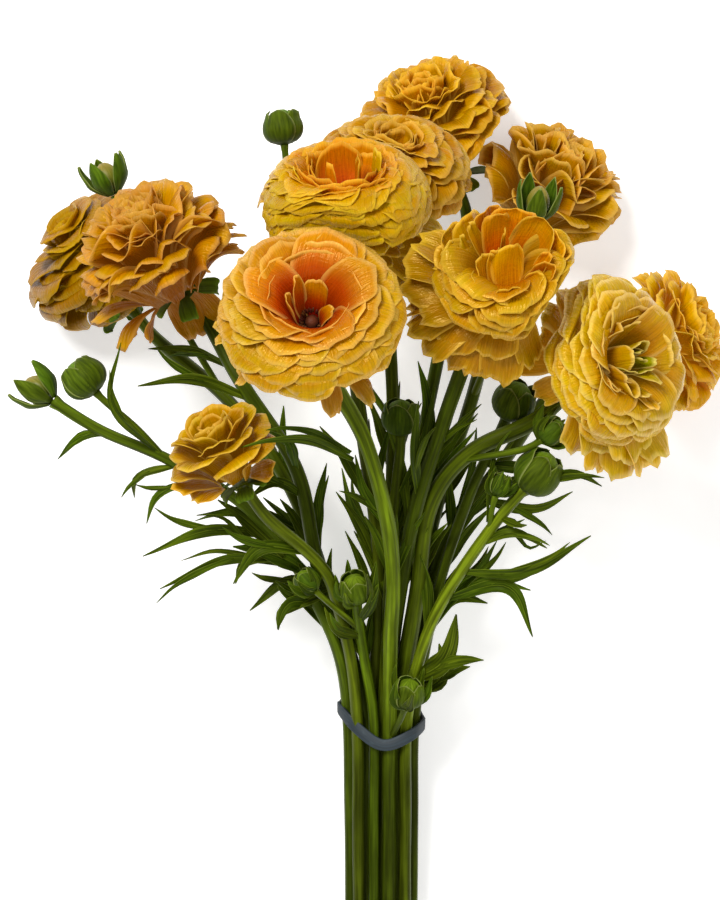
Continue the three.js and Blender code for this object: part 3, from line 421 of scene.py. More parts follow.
def band_ring(sides):
    """Points round the bundle where the band lies on the stems, and the way out there."""
    step = 2 * math.pi / sides
    ring = []
    for i in range(sides):
        a, b = i * step, (i + 1) * step
        y = BAND_Y - BAND_SLOPE * BAND_HALF_HEIGHT * math.sin(a + step / 2)
        ra, rb = (outline_reach(side, y) + BAND_AIR for side in (a, b))
        x = (ra * math.sin(b) - rb * math.sin(a)) / math.sin(b - a)
        z = (rb * math.cos(a) - ra * math.cos(b)) / math.sin(b - a)
        out = (math.cos(a + step / 2), 0, math.sin(a + step / 2))
        ring.append(((BUNCH_X + x, y, BAND_Z + z), out))
    spots, outs = (np.array(column, float) for column in zip(*ring))
    ahead = np.roll(spots, -1, axis=0) - np.roll(spots, 1, axis=0)
    wide = np.cross(ahead, outs)
    return spots, outs, wide / np.linalg.norm(wide, axis=1)[:, None]


def layout_shift():
    """From the layout to the part's frame: the band's box in both tells it."""
    spots, outs, wide = band_ring(BAND_SIDES)
    corners = np.vstack([spots + wide * side * BAND_WIDTH / 2 + outs * out
                         for side in (-1, 1) for out in (0, BAND_THICKNESS)])
    low, high = (np.array(corner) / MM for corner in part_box("rubber_band"))
    shift = (low + high - corners.min(0) - corners.max(0)) / 2
    return np.array([shift[0], shift[1], 0])


SHIFT = layout_shift()

# ---- meshes ------------------------------------------------------------------------


class Shape:
    """Points and faces of one piece, and what its material reads at each point: place
    (ring or share, along, across), grain (mm across, mm along, number) and tint."""

    def __init__(self):
        self.spots, self.faces, self.places, self.grains, self.tints = [], [], [], [], []
        self.count = 0

    def add(self, spots, faces, place, grain, tint):
        size = len(spots)
        self.spots.append(spots)
        self.faces += [[i + self.count for i in face] for face in faces]
        self.places.append(np.broadcast_to(place, (size, 3)))
        self.grains.append(np.broadcast_to(grain, (size, 3)))
        self.tints.append(np.broadcast_to(tint, (size,)))
        self.count += size


def piece(name, shape, material, nodes):
    """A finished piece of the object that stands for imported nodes."""
    mesh = bpy.data.meshes.new(name)
    spots = (np.vstack(shape.spots) + SHIFT) * MM
    mesh.from_pydata(spots.tolist(), [], shape.faces)
    for label, rows in (("place", shape.places), ("grain", shape.grains)):
        layer = mesh.attributes.new(label, "FLOAT_VECTOR", "POINT")
        layer.data.foreach_set("vector", np.vstack(rows).astype(np.float32).ravel())
    layer = mesh.attributes.new("tint", "FLOAT", "POINT")
    layer.data.foreach_set("value", np.concatenate(shape.tints).astype(np.float32))
    mesh.shade_smooth()
    mesh.materials.append(material)
    made = bpy.data.objects.new(name, mesh)
    bpy.context.scene.collection.objects.link(made)
    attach(made, "root")
    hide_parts(*nodes)
    return made


def grid_faces(rows, columns):
    """Quads of a grid of points with that many cells, seen from its front."""
    return [(r * (columns + 1) + c, r * (columns + 1) + c + 1,
             (r + 1) * (columns + 1) + c + 1, (r + 1) * (columns + 1) + c)
            for r in range(rows) for c in range(columns)]


def add_blade(shape, grid, thickness, place, grain, tint):
    """A thin closed blade from a grid of points: a front, a back and a rim."""
    rows, columns = grid.shape[0] - 1, grid.shape[1] - 1
    front_way = np.cross(np.gradient(grid, axis=1), np.gradient(grid, axis=0))
    front_way /= np.linalg.norm(front_way, axis=2)[:, :, None] + 1e-9
    lift = np.full(grid.shape[:2], thickness / 2)
    lift[:, [0, -1]] *= 0.5
    lift[-1] *= 0.5
    lift = lift[:, :, None]
    sides = (grid + front_way * lift, grid - front_way * lift)
    spots = np.vstack([side.reshape(-1, 3) for side in sides])
    under = (rows + 1) * (columns + 1)
    front = grid_faces(rows, columns)
    back = [(under + a, under + d, under + c, under + b) for a, b, c, d in front]
    wide = columns + 1
    rim = [*range(columns), *(r * wide + columns for r in range(rows)),
           *(rows * wide + c for c in range(columns, 0, -1)), *(r * wide for r in range(rows, 0, -1))]
    band = [(j, i, under + i, under + j) for i, j in zip(rim, rim[1:] + rim[:1])]
    both = (np.vstack([part.reshape(-1, 3)] * 2) for part in (place, grain))
    shape.add(spots, front + back + band, *both, tint)


def add_rings(shape, rings, place, grain, tint):
    """A closed skin over rings of points from end to end, with both ends capped."""
    count, sides = rings.shape[:2]
    faces = []
    for r in range(count - 1):
        for c in range(sides):
            n = (c + 1) % sides
            faces.append((r * sides + c, r * sides + n, (r + 1) * sides + n, (r + 1) * sides + c))
    faces.append(tuple(range(sides - 1, -1, -1)))
    faces.append(tuple(range((count - 1) * sides, count * sides)))
    shape.add(rings.reshape(-1, 3), faces, place.reshape(-1, 3), grain.reshape(-1, 3), tint)


def smoothed(points, rounds=2):
    """The same points with their sharp bends evened out."""
    p = np.array(points, float)
    for _ in range(rounds):
        p[1:-1] = 0.25 * p[:-2] + 0.5 * p[1:-1] + 0.25 * p[2:]
    return p


def carried_frames(path):
    """Directions along a path, and two square to them that don't twist."""
    ahead = np.gradient(path, axis=0)
    ahead /= np.linalg.norm(ahead, axis=1)[:, None]
    side = [frame_about(ahead[0])[0]]
    for direction in ahead[1:]:
        side.append(unit(side[-1] - direction * (side[-1] @ direction)))
    side = np.array(side)
    return ahead, side, np.cross(ahead, side)


# ---- materials ---------------------------------------------------------------------

SOFT_STEP = {"interpolation_type": "SMOOTHSTEP"}   # what makes a range a soft step
OF_COLOURS = {"out": 2, "data_type": "RGBA"}       # and a mix one of colours


def srgb(code):
    """An sRGB hex colour as linear light."""
    parts = [int(code[i:i + 2], 16) / 255 for i in (1, 3, 5)]
    return [c / 12.92 if c <= 0.04045 else ((c + 0.055) / 1.055) ** 2.4 for c in parts] + [1.0]


def add_node(tree, kind, inputs=None, out=0, stops=(), **settings):
    """Adds a node with its settings and a ramp's (place, hex colour) stops, fills its inputs
    with links, numbers or hex colours, and returns one of its outputs."""
    node = tree.nodes.new("ShaderNode" + kind)
    for setting, value in settings.items():
        setattr(node, setting, value)
    for number, (spot, code) in enumerate(stops):
        elements = node.color_ramp.elements
        element = elements[number] if number < 2 else elements.new(spot)
        element.position, element.color = spot, srgb(code)
    for socket, value in (inputs or {}).items():
        if isinstance(value, bpy.types.NodeSocket):
            tree.links.new(value, node.inputs[socket])
        else:
            node.inputs[socket].default_value = srgb(value) if isinstance(value, str) else value
    return node.outputs[out] if node.outputs else None


def new_material(name):
    material = bpy.data.materials.new(name)
    material.use_nodes = True
    material.node_tree.nodes.clear()
    return material, material.node_tree


def read_point(tree):
    """What a piece's points carry: place as three values, grain as a vector, tint."""
    place = add_node(tree, "Attribute", out="Vector", attribute_name="place")
    grain = add_node(tree, "Attribute", out="Vector", attribute_name="grain")
    tint = add_node(tree, "Attribute", out="Fac", attribute_name="tint")
    return *add_node(tree, "SeparateXYZ", {0: place}).node.outputs, grain, tint


def streaks(tree, grain, across_mm, along_mm, detail=2.0):
    """Long soft streaks: noise whose cells are that wide and long."""
    scale = (1 / across_mm, 1 / along_mm, 1)
    stretched = add_node(tree, "Mapping", {"Vector": grain, "Scale": scale})
    return add_node(tree, "TexNoise", {"Vector": stretched, "Scale": 1.0, "Detail": detail})


def varied(tree, colour, tint, hue, value):
    """Shifts hue and brightness from one petal or leaf to the next."""
    turn = 0.31     # the brightness goes up and down over the tint in steps of this
    hue_now = add_node(tree, "MapRange", {0: tint, 3: 0.5 - hue, 4: 0.5 + hue})
    swapped = add_node(tree, "Math", {0: tint, 1: turn}, operation="PINGPONG")
    value_now = add_node(tree, "MapRange", {0: swapped, 2: turn, 3: 1 - value, 4: 1 + value * 0.6})
    return add_node(tree, "HueSaturation", {"Hue": hue_now, "Value": value_now, "Color": colour})


def finish_material(tree, colour, bump, roughness, surface, glow=0.0):
    """Closes a material: a skin with its bump, and light that comes through a thin blade."""
    skin = add_node(tree, "BsdfPrincipled",
                    {"Base Color": colour, "Roughness": roughness, "Normal": bump, **surface})
    if glow:
        through = add_node(tree, "BsdfTranslucent", {"Color": colour, "Normal": bump})
        skin = add_node(tree, "MixShader", {0: glow, 1: skin, 2: through})
    add_node(tree, "OutputMaterial", {0: skin})


# Colours of each bloom's petals: the inner ones from root to tip, the outer ones from root
# to tip, the dry edge, how far the edge colour shows, and the gloss of the freshest ones.
PETAL_COLOURS = {
    "03": (("#861000", "#C84808", "#E89E32"), ("#9E640A", "#CA981E", "#E8C04C"), "#F4D274", 0.35, 0.65),
    "08": (("#B43C04", "#DE8A34", "#EEB654"), ("#A4720A", "#CA960E", "#DCB026"), "#EAC650", 0.35, 0.8),
    "09": (("#7A5806", "#C68A1C", "#DCB038"), ("#BC8A1A", "#E2B838", "#F0D258"), "#F6DE88", 0.4, 0.8),
    "04": (("#D4582A", "#E4884C", "#E6A04A"), ("#A87C02", "#D0A20C", "#E2BC24"), "#E4C244", 0.35),
    "02": (("#A4560A", "#D49634", "#E8B65A"), ("#A0600E", "#D49A3A", "#E6B65C"), "#B8884C", 0.5),
    "11": (("#9E7A0A", "#D09E16", "#DEB02A"), ("#A26E08", "#CA9612", "#DEB22A"), "#E2BE54", 0.5),
    "05": (("#B4720C", "#CC9230", "#DAA846"), ("#A0680A", "#C6901E", "#D8A838"), "#E0BC5E", 0.35),
    "07": (("#A46E12", "#D09A36", "#E4B450"), ("#A06C12", "#CC9834", "#E0B24E"), "#DCB868", 0.4),
    "10": (("#D89A14", "#F2C032", "#F6CC50"), ("#D89A14", "#F2C032", "#F6CC50"), "#DCB25A", 0.4),
    "06": (("#AE7006", "#D49412", "#E6AC26"), ("#A66E06", "#CE9412", "#E4B024"), "#EEC44A", 0.35),
    "01": (("#825A00", "#B28200", "#C69404"), ("#7A5400", "#AC7C00", "#C29202"), "#BE9C0E", 0.3),
}
HEART_PETAL = "#A8A81C"    # the innermost petals, still green
# strength of the painted glow that the petals give off at their roots and thin rims
PAINTED_GLOW_STRENGTH = 0.24
PETAL_LIGHT = 0.28         # share of the light that a petal lets through


def satin_petal(name, inner, outer, edge, edge_share, gloss=0.35):
    """Ranunculus petal: thin waxy tissue. To the eye a satin sheen over fine veins that run
    to the tip, small cross wrinkles, a root that is darker and warmer, partly its own colour
    and partly painted shade, a pale or dry thin edge, and a painted glow at the root and
    along the edge. Its ring is under 0 in a green heart, 0 to 1 from the inner petals to the
    outer ones, more than 1 for a hanging petal painted darker as shade under the bloom, and 3
    for a pale petal in the cup."""
    material, tree = new_material(name)
    ring, along, across, grain, tint = read_point(tree)
    in_heart = add_node(tree, "MapRange", {0: ring, 1: -0.15, 2: -0.9}, **SOFT_STEP)
    is_outer = add_node(tree, "MapRange", {0: ring, 1: 0.1, 2: 0.42}, **SOFT_STEP)
    # painted shade: a hanging petal takes the dark root colour of the outer petals, as shade under its
    # bloom
    painted_shade_hanging = add_node(tree, "MapRange", {0: ring, 1: 1.0, 2: 1.6}, **SOFT_STEP)
    is_pale = add_node(tree, "MapRange", {0: ring, 1: 2.0, 2: 3.0}, **SOFT_STEP)
    # darker and warmer toward the root: partly the petals' own colour, partly painted shade and warm
    # bounced light deep between the layers
    colour = add_node(tree, "ValToRGB", {0: along}, stops=zip((0.22, 0.5, 0.86), inner))
    outside = add_node(tree, "ValToRGB", {0: along}, stops=zip((0.4, 0.78, 0.98), outer))
    pale = add_node(tree, "ValToRGB", {0: along}, stops=zip((0.1, 0.6), inner[1:]))
    for share, other in ((in_heart, HEART_PETAL), (is_outer, outside), (painted_shade_hanging, outer[0]),
                         (is_pale, pale)):
        colour = add_node(tree, "Mix", {0: share, 6: colour, 7: other}, **OF_COLOURS)
    # veins are 0.4 mm apart; drawn 0.7 mm apart so that they show
    veins = streaks(tree, grain, 0.7, 16, 2.5)
    vein_shade = add_node(tree, "MapRange", {0: veins, 1: 0.36, 2: 0.62, 3: 0.90, 4: 1.05}, **SOFT_STEP)
    colour = add_node(tree, "HueSaturation", {"Value": vein_shade, "Color": colour})
    colour = add_node(tree, "HueSaturation", {"Saturation": 1.12, "Value": 0.9, "Color": colour})
    blotch = add_node(tree, "MapRange", {0: streaks(tree, grain, 6, 9, 3), 1: 0.35, 2: 0.7}, **SOFT_STEP)
    deeper = add_node(tree, "Mix", {0: 1.0, 6: colour, 7: "#FCEBC4"}, blend_type="MULTIPLY", **OF_COLOURS)
    colour = add_node(tree, "Mix", {0: blotch, 6: deeper, 7: colour}, **OF_COLOURS)
    # the pale or dry edge, round the tip and less along the sides
    side = add_node(tree, "Math", {0: across}, operation="ABSOLUTE")
    at_tip = add_node(tree, "MapRange", {0: along, 1: 0.90, 2: 1.0}, **SOFT_STEP)
    at_side = add_node(tree, "MapRange", {0: side, 1: 0.80, 2: 1.0, 4: 0.7}, **SOFT_STEP)
    rim = add_node(tree, "Math", {0: at_tip, 1: at_side}, operation="MAXIMUM")
    paler = add_node(tree, "Math", {0: rim, 1: edge_share}, operation="MULTIPLY")
    colour = add_node(tree, "Mix", {0: paler, 6: colour, 7: edge}, **OF_COLOURS)
    colour = varied(tree, colour, tint, 0.008, 0.12)
    wrinkle = add_node(tree, "Math", {0: streaks(tree, grain, 7, 0.9), 1: 0.35}, operation="MULTIPLY")
    height = add_node(tree, "Math", {0: wrinkle, 1: streaks(tree, grain, 0.8, 11)}, operation="ADD")
    bump = add_node(tree, "Bump", {"Height": height, "Strength": 0.7, "Distance": 0.0008})
    roughness = add_node(tree, "MapRange", {0: veins, 1: 0.3, 2: 0.7, 3: 0.2, 4: 0.32}, **SOFT_STEP)
    # painted glow, standing in for the light that the crowded thin roots scatter among themselves: the
    # roots give off warm light, so they stay warm in the gaps
    to_tip = add_node(tree, "MapRange", {0: along, 1: 0.35, 2: 0.9}, **SOFT_STEP)
    painted_root_glow = add_node(tree, "Mix", {0: is_outer, 6: inner[0], 7: outer[0]}, **OF_COLOURS)
    painted_glow = add_node(tree, "Mix", {0: to_tip, 6: painted_root_glow, 7: "#000000"}, **OF_COLOURS)
    # painted glow along the thin rim as well: pale light given off round the edge
    thin = add_node(tree, "Mix", {0: 0.5, 6: edge, 7: outer[1]}, **OF_COLOURS)
    painted_glow = add_node(tree, "Mix", {0: rim, 6: painted_glow, 7: thin}, **OF_COLOURS)
    surface = {"IOR": 1.45, "Specular IOR Level": gloss, "Specular Tint": "#FFD680",
               "Emission Color": painted_glow, "Emission Strength": PAINTED_GLOW_STRENGTH}
    finish_material(tree, colour, bump, roughness, surface, PETAL_LIGHT)
    return material


def green_skin(name, greens, edge, edge_from, streak_mm, rough, glow):
    """Waxy green tissue: streaks along it from dark to light, lighter or darker by the lightness
    that each point carries, which on stems below the band is painted shade, and a paler edge where there is
    one."""
    material, tree = new_material(name)
    share, along, _, grain, tint = read_point(tree)
    streak = streaks(tree, grain, *streak_mm, 3)
    colour = add_node(tree, "ValToRGB", {0: streak}, stops=zip((0.3, 0.5, 0.72), greens))
    cloud = add_node(tree, "MapRange", {0: streaks(tree, grain, 5, 16), 1: 0.35, 2: 0.65, 3: 0.82, 4: 1.12},
                     **SOFT_STEP)
    colour = add_node(tree, "HueSaturation", {"Value": cloud, "Color": colour})
    # lightness that each point carries: set stem by stem, lighter toward a leaf's or sepal's tip, and
    # painted shade on stems below the band
    young = add_node(tree, "MapRange", {0: along, 1: -1, 2: 2, 3: -0.3, 4: 3.45})
    colour = add_node(tree, "HueSaturation", {"Value": young, "Color": colour})
    colour = varied(tree, colour, tint, 0.014, 0.22)
    at_edge = add_node(tree, "MapRange", {0: share, 1: edge_from, 2: 1.0}, **SOFT_STEP)
    colour = add_node(tree, "Mix", {0: at_edge, 6: colour, 7: edge}, **OF_COLOURS)
    bump = add_node(tree, "Bump", {"Height": streak, "Strength": 0.5, "Distance": 0.0004})
    roughness = add_node(tree, "MapRange", {0: streak, 1: 0.3, 2: 0.7, 3: rough, 4: rough + 0.14},
                         **SOFT_STEP)
    surface = {"IOR": 1.42, "Specular IOR Level": 0.22, "Specular Tint": "#DCE88C"}
    finish_material(tree, colour, bump, roughness, surface, glow)
    return material


# Stem: ridged and juicy, darker or lighter yellow green stem by stem, and painted darker as shade below the
# band. Its cut face is pale pith.
STEM_GREEN = green_skin("ridged_green_stem", ("#2A3204", "#404C06", "#56660E"), "#A8B068", 0.5,
                        (1.5, 40), 0.38, 0.0)
# Leaf: darker and thinner, matt, with pale ribs along it.
LEAF_GREEN = green_skin("dark_green_leaf", ("#263202", "#3E5006", "#5A6C0C"), "#74841E", 0.92,
                        (0.8, 18), 0.42, 0.18)
# Sepal: downy green with a thin pale margin.
SEPAL_GREEN = green_skin("downy_green_sepal", ("#304206", "#42560A", "#546A12"), "#848E48", 0.86,
                         (1.0, 8), 0.5, 0.12)


def folded_bud_petals():
    """Petals still rolled up in a bud: yellow green, amber toward the top, with faint folds."""
    material, tree = new_material("unopened_bud_petal")
    _, along, _, grain, _ = read_point(tree)
    colour = add_node(tree, "ValToRGB", {0: along},
                      stops=((0.2, "#66701A"), (0.6, "#84801E"), (0.95, "#98842A")))
    streak = streaks(tree, grain, 0.8, 9)
    shade = add_node(tree, "MapRange", {0: streak, 1: 0.3, 2: 0.7, 3: 0.75, 4: 1.1}, **SOFT_STEP)
    colour = add_node(tree, "HueSaturation", {"Value": shade, "Color": colour})
    bump = add_node(tree, "Bump", {"Height": streak, "Strength": 0.4, "Distance": 0.0004})
    roughness = add_node(tree, "MapRange", {0: streak, 1: 0.3, 2: 0.7, 3: 0.42, 4: 0.55}, **SOFT_STEP)
    finish_material(tree, colour, bump, roughness, {"IOR": 1.45}, 0.15)
    return material


BUD_PETAL = folded_bud_petals()


def stamen_material(name, foot, top):
    """Crowded stamens and pistils: dry and matt, darker toward their feet, partly their own dark threads
    and partly painted shade down between them.
    """
    material, tree = new_material(name)
    _, along, _, grain, tint = read_point(tree)
    colour = add_node(tree, "ValToRGB", {0: along}, stops=((0.1, foot), (0.9, top)))
    colour = varied(tree, colour, tint, 0.02, 0.3)
    speck = streaks(tree, grain, 0.6, 0.6)
    bump = add_node(tree, "Bump", {"Height": speck, "Strength": 0.4, "Distance": 0.0003})
    roughness = add_node(tree, "MapRange", {0: speck, 1: 0.3, 2: 0.7, 3: 0.55, 4: 0.75}, **SOFT_STEP)
    finish_material(tree, colour, bump, roughness, {"IOR": 1.45})
    return material


def band_rubber():
    """Natural rubber band, dyed slate blue: matt with fine mould lines and dusty wear."""
    material, tree = new_material("slate_rubber_band")
    grain = read_point(tree)[3]
    line = streaks(tree, grain, 0.5, 30)
    colour = add_node(tree, "ValToRGB", {0: line},
                      stops=((0.3, "#141D22"), (0.5, "#1D2A31"), (0.75, "#2C3B43")))
    dusty = add_node(tree, "MapRange", {0: streaks(tree, grain, 2, 4, 4), 1: 0.55, 2: 0.8}, **SOFT_STEP)
    dusty = add_node(tree, "Math", {0: dusty, 1: 0.2}, operation="MULTIPLY")
    colour = add_node(tree, "Mix", {0: dusty, 6: colour, 7: "#5E7076"}, **OF_COLOURS)
    bump = add_node(tree, "Bump", {"Height": line, "Strength": 0.3, "Distance": 0.0003})
    roughness = add_node(tree, "MapRange", {0: line, 1: 0.3, 2: 0.7, 3: 0.5, 4: 0.66}, **SOFT_STEP)
    finish_material(tree, colour, bump, roughness, {"IOR": 1.52})
    return material


# ---- petals ------------------------------------------------------------------------

PETAL_THICKNESS = 0.36
PETAL_GRID = (11, 14)      # cells along and across
WIDEST = 0.72              # share of its length where a petal reaches its full width
SOFT_OUTLINE = 0.3         # how much of what stands past the bloom's outline is left
TABLE_AIR = 0.3            # between a petal and the table

# How far the tips reach, as shares of the outline: from the first to the last in the cup's
# wall, outside it, and how much they vary.
REACH_IN_CUP = (0.8, 0.96)
REACH_OUTSIDE = 0.97
REACH_UNEVEN = 0.03
# The first and the last petal's root: distance from the pole line and depth below the
# middle, as shares of the bloom's radius and half depth.
ROOT_OUT = (0.1, 0.28)
ROOT_DOWN = (0.3, 0.68)
# The root of a hanging petal and of a single one in the cup: that distance, and its height.
HANGING_ROOT = (0.26, -0.72)
SINGLE_ROOT = (0.09, -0.3)

PETAL_TURN = 5             # degrees that each petal is turned on edge, like a pinwheel
PETAL_WAVES = 3.2          # waves across half a petal, as an angle
EDGE_POWER = 2.3           # how square the outline of a petal's tip is
PLAIN_NICK = 0.018
TUCKED = (0.15, 1)         # rings of the petals that flare less


def petal_line(bloom, look, u, away, wobble):
    """Tip and root of a petal as distance from the pole line and height above the
    bloom's middle, and how far it bends over at its tip."""
    rim_share = look["cup"]
    inside = u < rim_share
    t = u / rim_share if inside else (u - rim_share) / (1 - rim_share)
    rim = look.get("rim", bloom.rim)
    angle = mix(look["inner"], rim, t) if inside else mix(rim, bloom.outer, t ** 0.85)
    reach = (mix(*REACH_IN_CUP, t) if inside else REACH_OUTSIDE) + REACH_UNEVEN * wobble
    angle = math.radians(angle)
    tip = np.array([bloom.radius * math.sin(angle), bloom.half * math.cos(angle)])
    spot = bloom.centre + tip[0] * away + tip[1] * bloom.pole
    tip = tip * reach / bloom.size_of(spot, 0.0)
    root = (mix(*ROOT_OUT, u) * bloom.radius, -bloom.half * mix(*ROOT_DOWN, u))
    bent = smooth(0.6 * rim_share, rim_share + look.get("over", 0.3), u)
    return tip, root, mix(*look["bend"], bent)


def petal_profile(bloom, line, s):
    """A petal's middle line from root to tip in the half plane of the pole: distance out and
    height, and the way square to it, toward the pole line for a rising petal."""
    tip, root, bend = line
    chord = math.hypot(tip[0] - root[0], tip[1] - root[1])
    # the petal arrives at its tip along the outline's normal, turned by the bend
    normal = math.atan2(tip[1] / bloom.half ** 2, tip[0] / bloom.radius ** 2) - math.radians(bend)
    knee = (tip[0] - 0.5 * chord * math.cos(normal), tip[1] - 0.5 * chord * math.sin(normal))
    corners = list(zip(root, knee, tip))
    out, high = ((1 - s) ** 2 * a + 2 * s * (1 - s) * b + s * s * c for a, b, c in corners)
    d_out, d_high = (2 * (1 - s) * (b - a) + 2 * s * (c - b) for a, b, c in corners)
    size = np.hypot(d_out, d_high) + 1e-9
    return out, high, -d_high / size, d_out / size, chord


def petal_relief(x, v, width, look, number, flare, s, edge):
    """How far a petal's surface lies off its smooth cup: ripples, a fold and a curled tip."""
    phase = number * 1.7
    ripple = np.sin(x * PETAL_WAVES + phase) * v ** 2 * (0.35 + 0.65 * np.abs(x))
    ripple = ripple + 0.35 * np.sin(v * 7 + x * 2 + phase * 2) * v
    ripple = ripple + 0.5 * np.sin(x * 8 + phase * 3) * smooth(0.6, 1, v)
    fold = look["fold"] * jitter(number * 3 + 0.5) * width * (np.sqrt(x * x + 0.03) - 0.17) * v
    curl = flare * (np.maximum(0, s - WIDEST) / (1 - WIDEST)) ** 2 - look["roll_back"] * width * edge * v
    return look["ruffle"] * ripple + fold + curl


def give_way(grid, bloom, fronts, free):
    """Keeps a petal in its bloom's outline unless it hangs free, off the blooms in front of
    it, and above the table."""
    if not free:
        over = bloom.size_of(grid, 0.0)
        kept = (1 + SOFT_OUTLINE * (over - 1)) / np.maximum(over, 1e-6)
        grid = bloom.scaled(grid, np.where(over > 1, kept, 1))
    for front in fronts:
        grid = front.press_back(grid)
    for front in fronts:
        grid = front.push_out(grid, BLOOM_GAP)
    grid[..., 2] = np.maximum(grid[..., 2], TABLE_AIR)
    return grid


def add_petal(shape, bloom, line, turn, half_width, look, fronts, ring, number, free=False):
    """One cupped petal from its root to its tip, in the bloom's own round frame."""
    rows, columns = PETAL_GRID
    x = np.sin(np.linspace(-0.5, 0.5, columns + 1) * math.pi)[None, :]
    v = np.linspace(0, 1, rows + 1)[:, None]
    edge = 1 - (1 - np.minimum(1, np.abs(x)) ** EDGE_POWER) ** (1 / EDGE_POWER)
    jagged = np.sin(x * 6 + number * 2.1) + 0.6 * np.sin(x * 13 + number * 3.7)
    s = v * (1 - look["round"] * edge - look.get("nick", PLAIN_NICK) * jagged)
    out, high, n_out, n_high, chord = petal_profile(bloom, line, s)
    width = half_width * (0.3 + 0.7 * np.sin(np.minimum(1, v / WIDEST) * math.pi / 2))
    reach = width * x
    # the sides follow a circle round the pole line, as far as the petal hugs the bloom
    circle = np.maximum(out, 0.55 * half_width)
    swing = np.clip(look["hug"] * reach / circle, -1.2, 1.2)
    flat = circle * np.sin(swing) + reach * (1 - look["hug"])
    inner_shift = circle * (np.cos(swing) - 1)
    tucked = TUCKED[0] < ring <= TUCKED[1] and not free
    flare = look.get("tuck", look["flare"]) if tucked else look["flare"]
    lift = petal_relief(x, v, width, look, number, flare, s, edge)
    roll = math.radians(PETAL_TURN + look["stand"] * jitter(number * 5 + 0.25))
    sideways = flat * math.cos(roll) - lift * math.sin(roll)
    inward = flat * math.sin(roll) + lift * math.cos(roll)
    out, high = out + inner_shift + inward * n_out, high + inward * n_high
    away, round_way = bloom.ways(turn)
    grid = (bloom.centre + look.get("shift", 0) + out[..., None] * away + high[..., None] * bloom.pole
            + sideways[..., None] * round_way)
    grid = give_way(grid, bloom, fronts, free)
    place = np.stack(np.broadcast_arrays(ring, v, x), axis=-1)
    grain = np.stack(np.broadcast_arrays(reach, v * chord, number * 17.0), axis=-1)
    add_blade(shape, grid, PETAL_THICKNESS, place, grain, scatter(number * 11 + 0.7))


# How the petals of each bloom lie: how many there are, the share of them in the cup's wall,
# angles of the innermost ones and of the wall's rim from the pole, half widths of the inner
# and outer ones, how far they bend over at their tips (degrees, inner and outer) and over
# which share past the wall that grows, how closely they hug the bloom (0 to 1), how far they
# stand on edge (degrees), and how they fold, ruffle, flare and roll back. Outer petals may
# flare less (tuck). Round is how much of a petal's corners is cut, nick how ragged its edge
# is, and pole the line that the petals grow round. A side may be left bare for single
# petals: the way there, how much of it a petal must have, and from which share of the petals
# to which.
LOOKS = {
    "03": dict(petals=76, cup=0.1, inner=32, widths=(13.0, 12.5), bend=(-14, 72), over=0.08, hug=0.9,
               stand=4, fold=0.05, ruffle=0.8, flare=0.5, tuck=0.1, roll_back=0.02, round=0.24,
               pole=(0, 0.51, 0.86)),
    "08": dict(petals=50, cup=0.16, inner=38, rim=43, widths=(11.0, 11.5), bend=(-12, 62), over=0.14,
               hug=0.8, stand=10, fold=0.2, ruffle=1.3, flare=0.8, tuck=0.2, roll_back=0.04,
               round=0.26, pole=(0.1, 0.46, 0.88),
               bare=(((0, 0, 0), -1, 0, 0.2), ((0, 1, 0), 0.1, 0, 0.85))),
    "09": dict(petals=68, cup=0.08, inner=36, rim=40, widths=(10.0, 12.5), bend=(-12, 78), over=0.1,
               hug=0.85, stand=5, fold=0.1, ruffle=0.6, flare=0.4, tuck=0.0, roll_back=0.02,
               round=0.3, pole=(0.58, 0.08, 0.81), bare=(((1, 0, 0), 0.3, 0.09, 0.12),)),
    "04": dict(petals=150, cup=0.06, inner=28, rim=34, widths=(10.0, 11.0), bend=(-6, 92), over=0.25,
               hug=0.8, stand=5, fold=0.1, ruffle=0.7, flare=0.7, roll_back=0.03, round=0.24,
               pole=(-0.05, 0.8, 0.6)),
    "02": dict(petals=78, cup=0.2, inner=8, widths=(8.0, 10.0), bend=(-4, 44), hug=0.5, stand=30,
               fold=1.3, ruffle=1.3, flare=0.8, roll_back=0.14, round=0.34, pole=(-0.4, 0.75, 0.35)),
    "11": dict(petals=23, cup=0.3, inner=16, widths=(6.5, 12.0), bend=(-10, 48), hug=0.85, stand=8,
               fold=0.2, ruffle=1.0, flare=0.5, roll_back=0.03, round=0.28, nick=0.01,
               pole=(-0.35, 0.8, 0.42)),
    "05": dict(petals=84, cup=0.14, inner=12, widths=(9.5, 11.0), bend=(-4, 76), over=0.15, hug=0.8,
               stand=8, fold=0.12, ruffle=1.0, flare=0.9, roll_back=0.03, round=0.3,
               pole=(0.1, 0.7, 0.7)),
    "07": dict(petals=62, cup=0.2, inner=8, widths=(8.5, 9.5), bend=(0, 24), hug=0.3, stand=40,
               fold=1.3, ruffle=0.5, flare=0.6, roll_back=0.22, round=0.4),
    "10": dict(petals=66, cup=0.18, inner=10, widths=(8.5, 10.0), bend=(0, 56), hug=0.6, stand=20,
               fold=0.7, ruffle=1.4, flare=0.8, roll_back=0.12, round=0.34, pole=(0.75, 0.3, 0.4)),
    "06": dict(petals=66, cup=0.18, inner=10, widths=(9.5, 12.0), bend=(0, 56), hug=0.65, stand=20,
               fold=0.5, ruffle=1.8, flare=1.0, roll_back=0.14, round=0.3, pole=(-0.3, 0.7, 0.6)),
    "01": dict(petals=44, cup=0.14, inner=10, widths=(14.0, 19.0), bend=(0, 88), over=0.12, hug=0.95,
               stand=5, fold=0.1, ruffle=0.8, flare=0.3, roll_back=0.02, round=0.2,
               pole=(-0.5, 0.6, 0.4), bare=(((-0.4, -0.9, 0), -0.1, 0.1, 0.66),)),
}
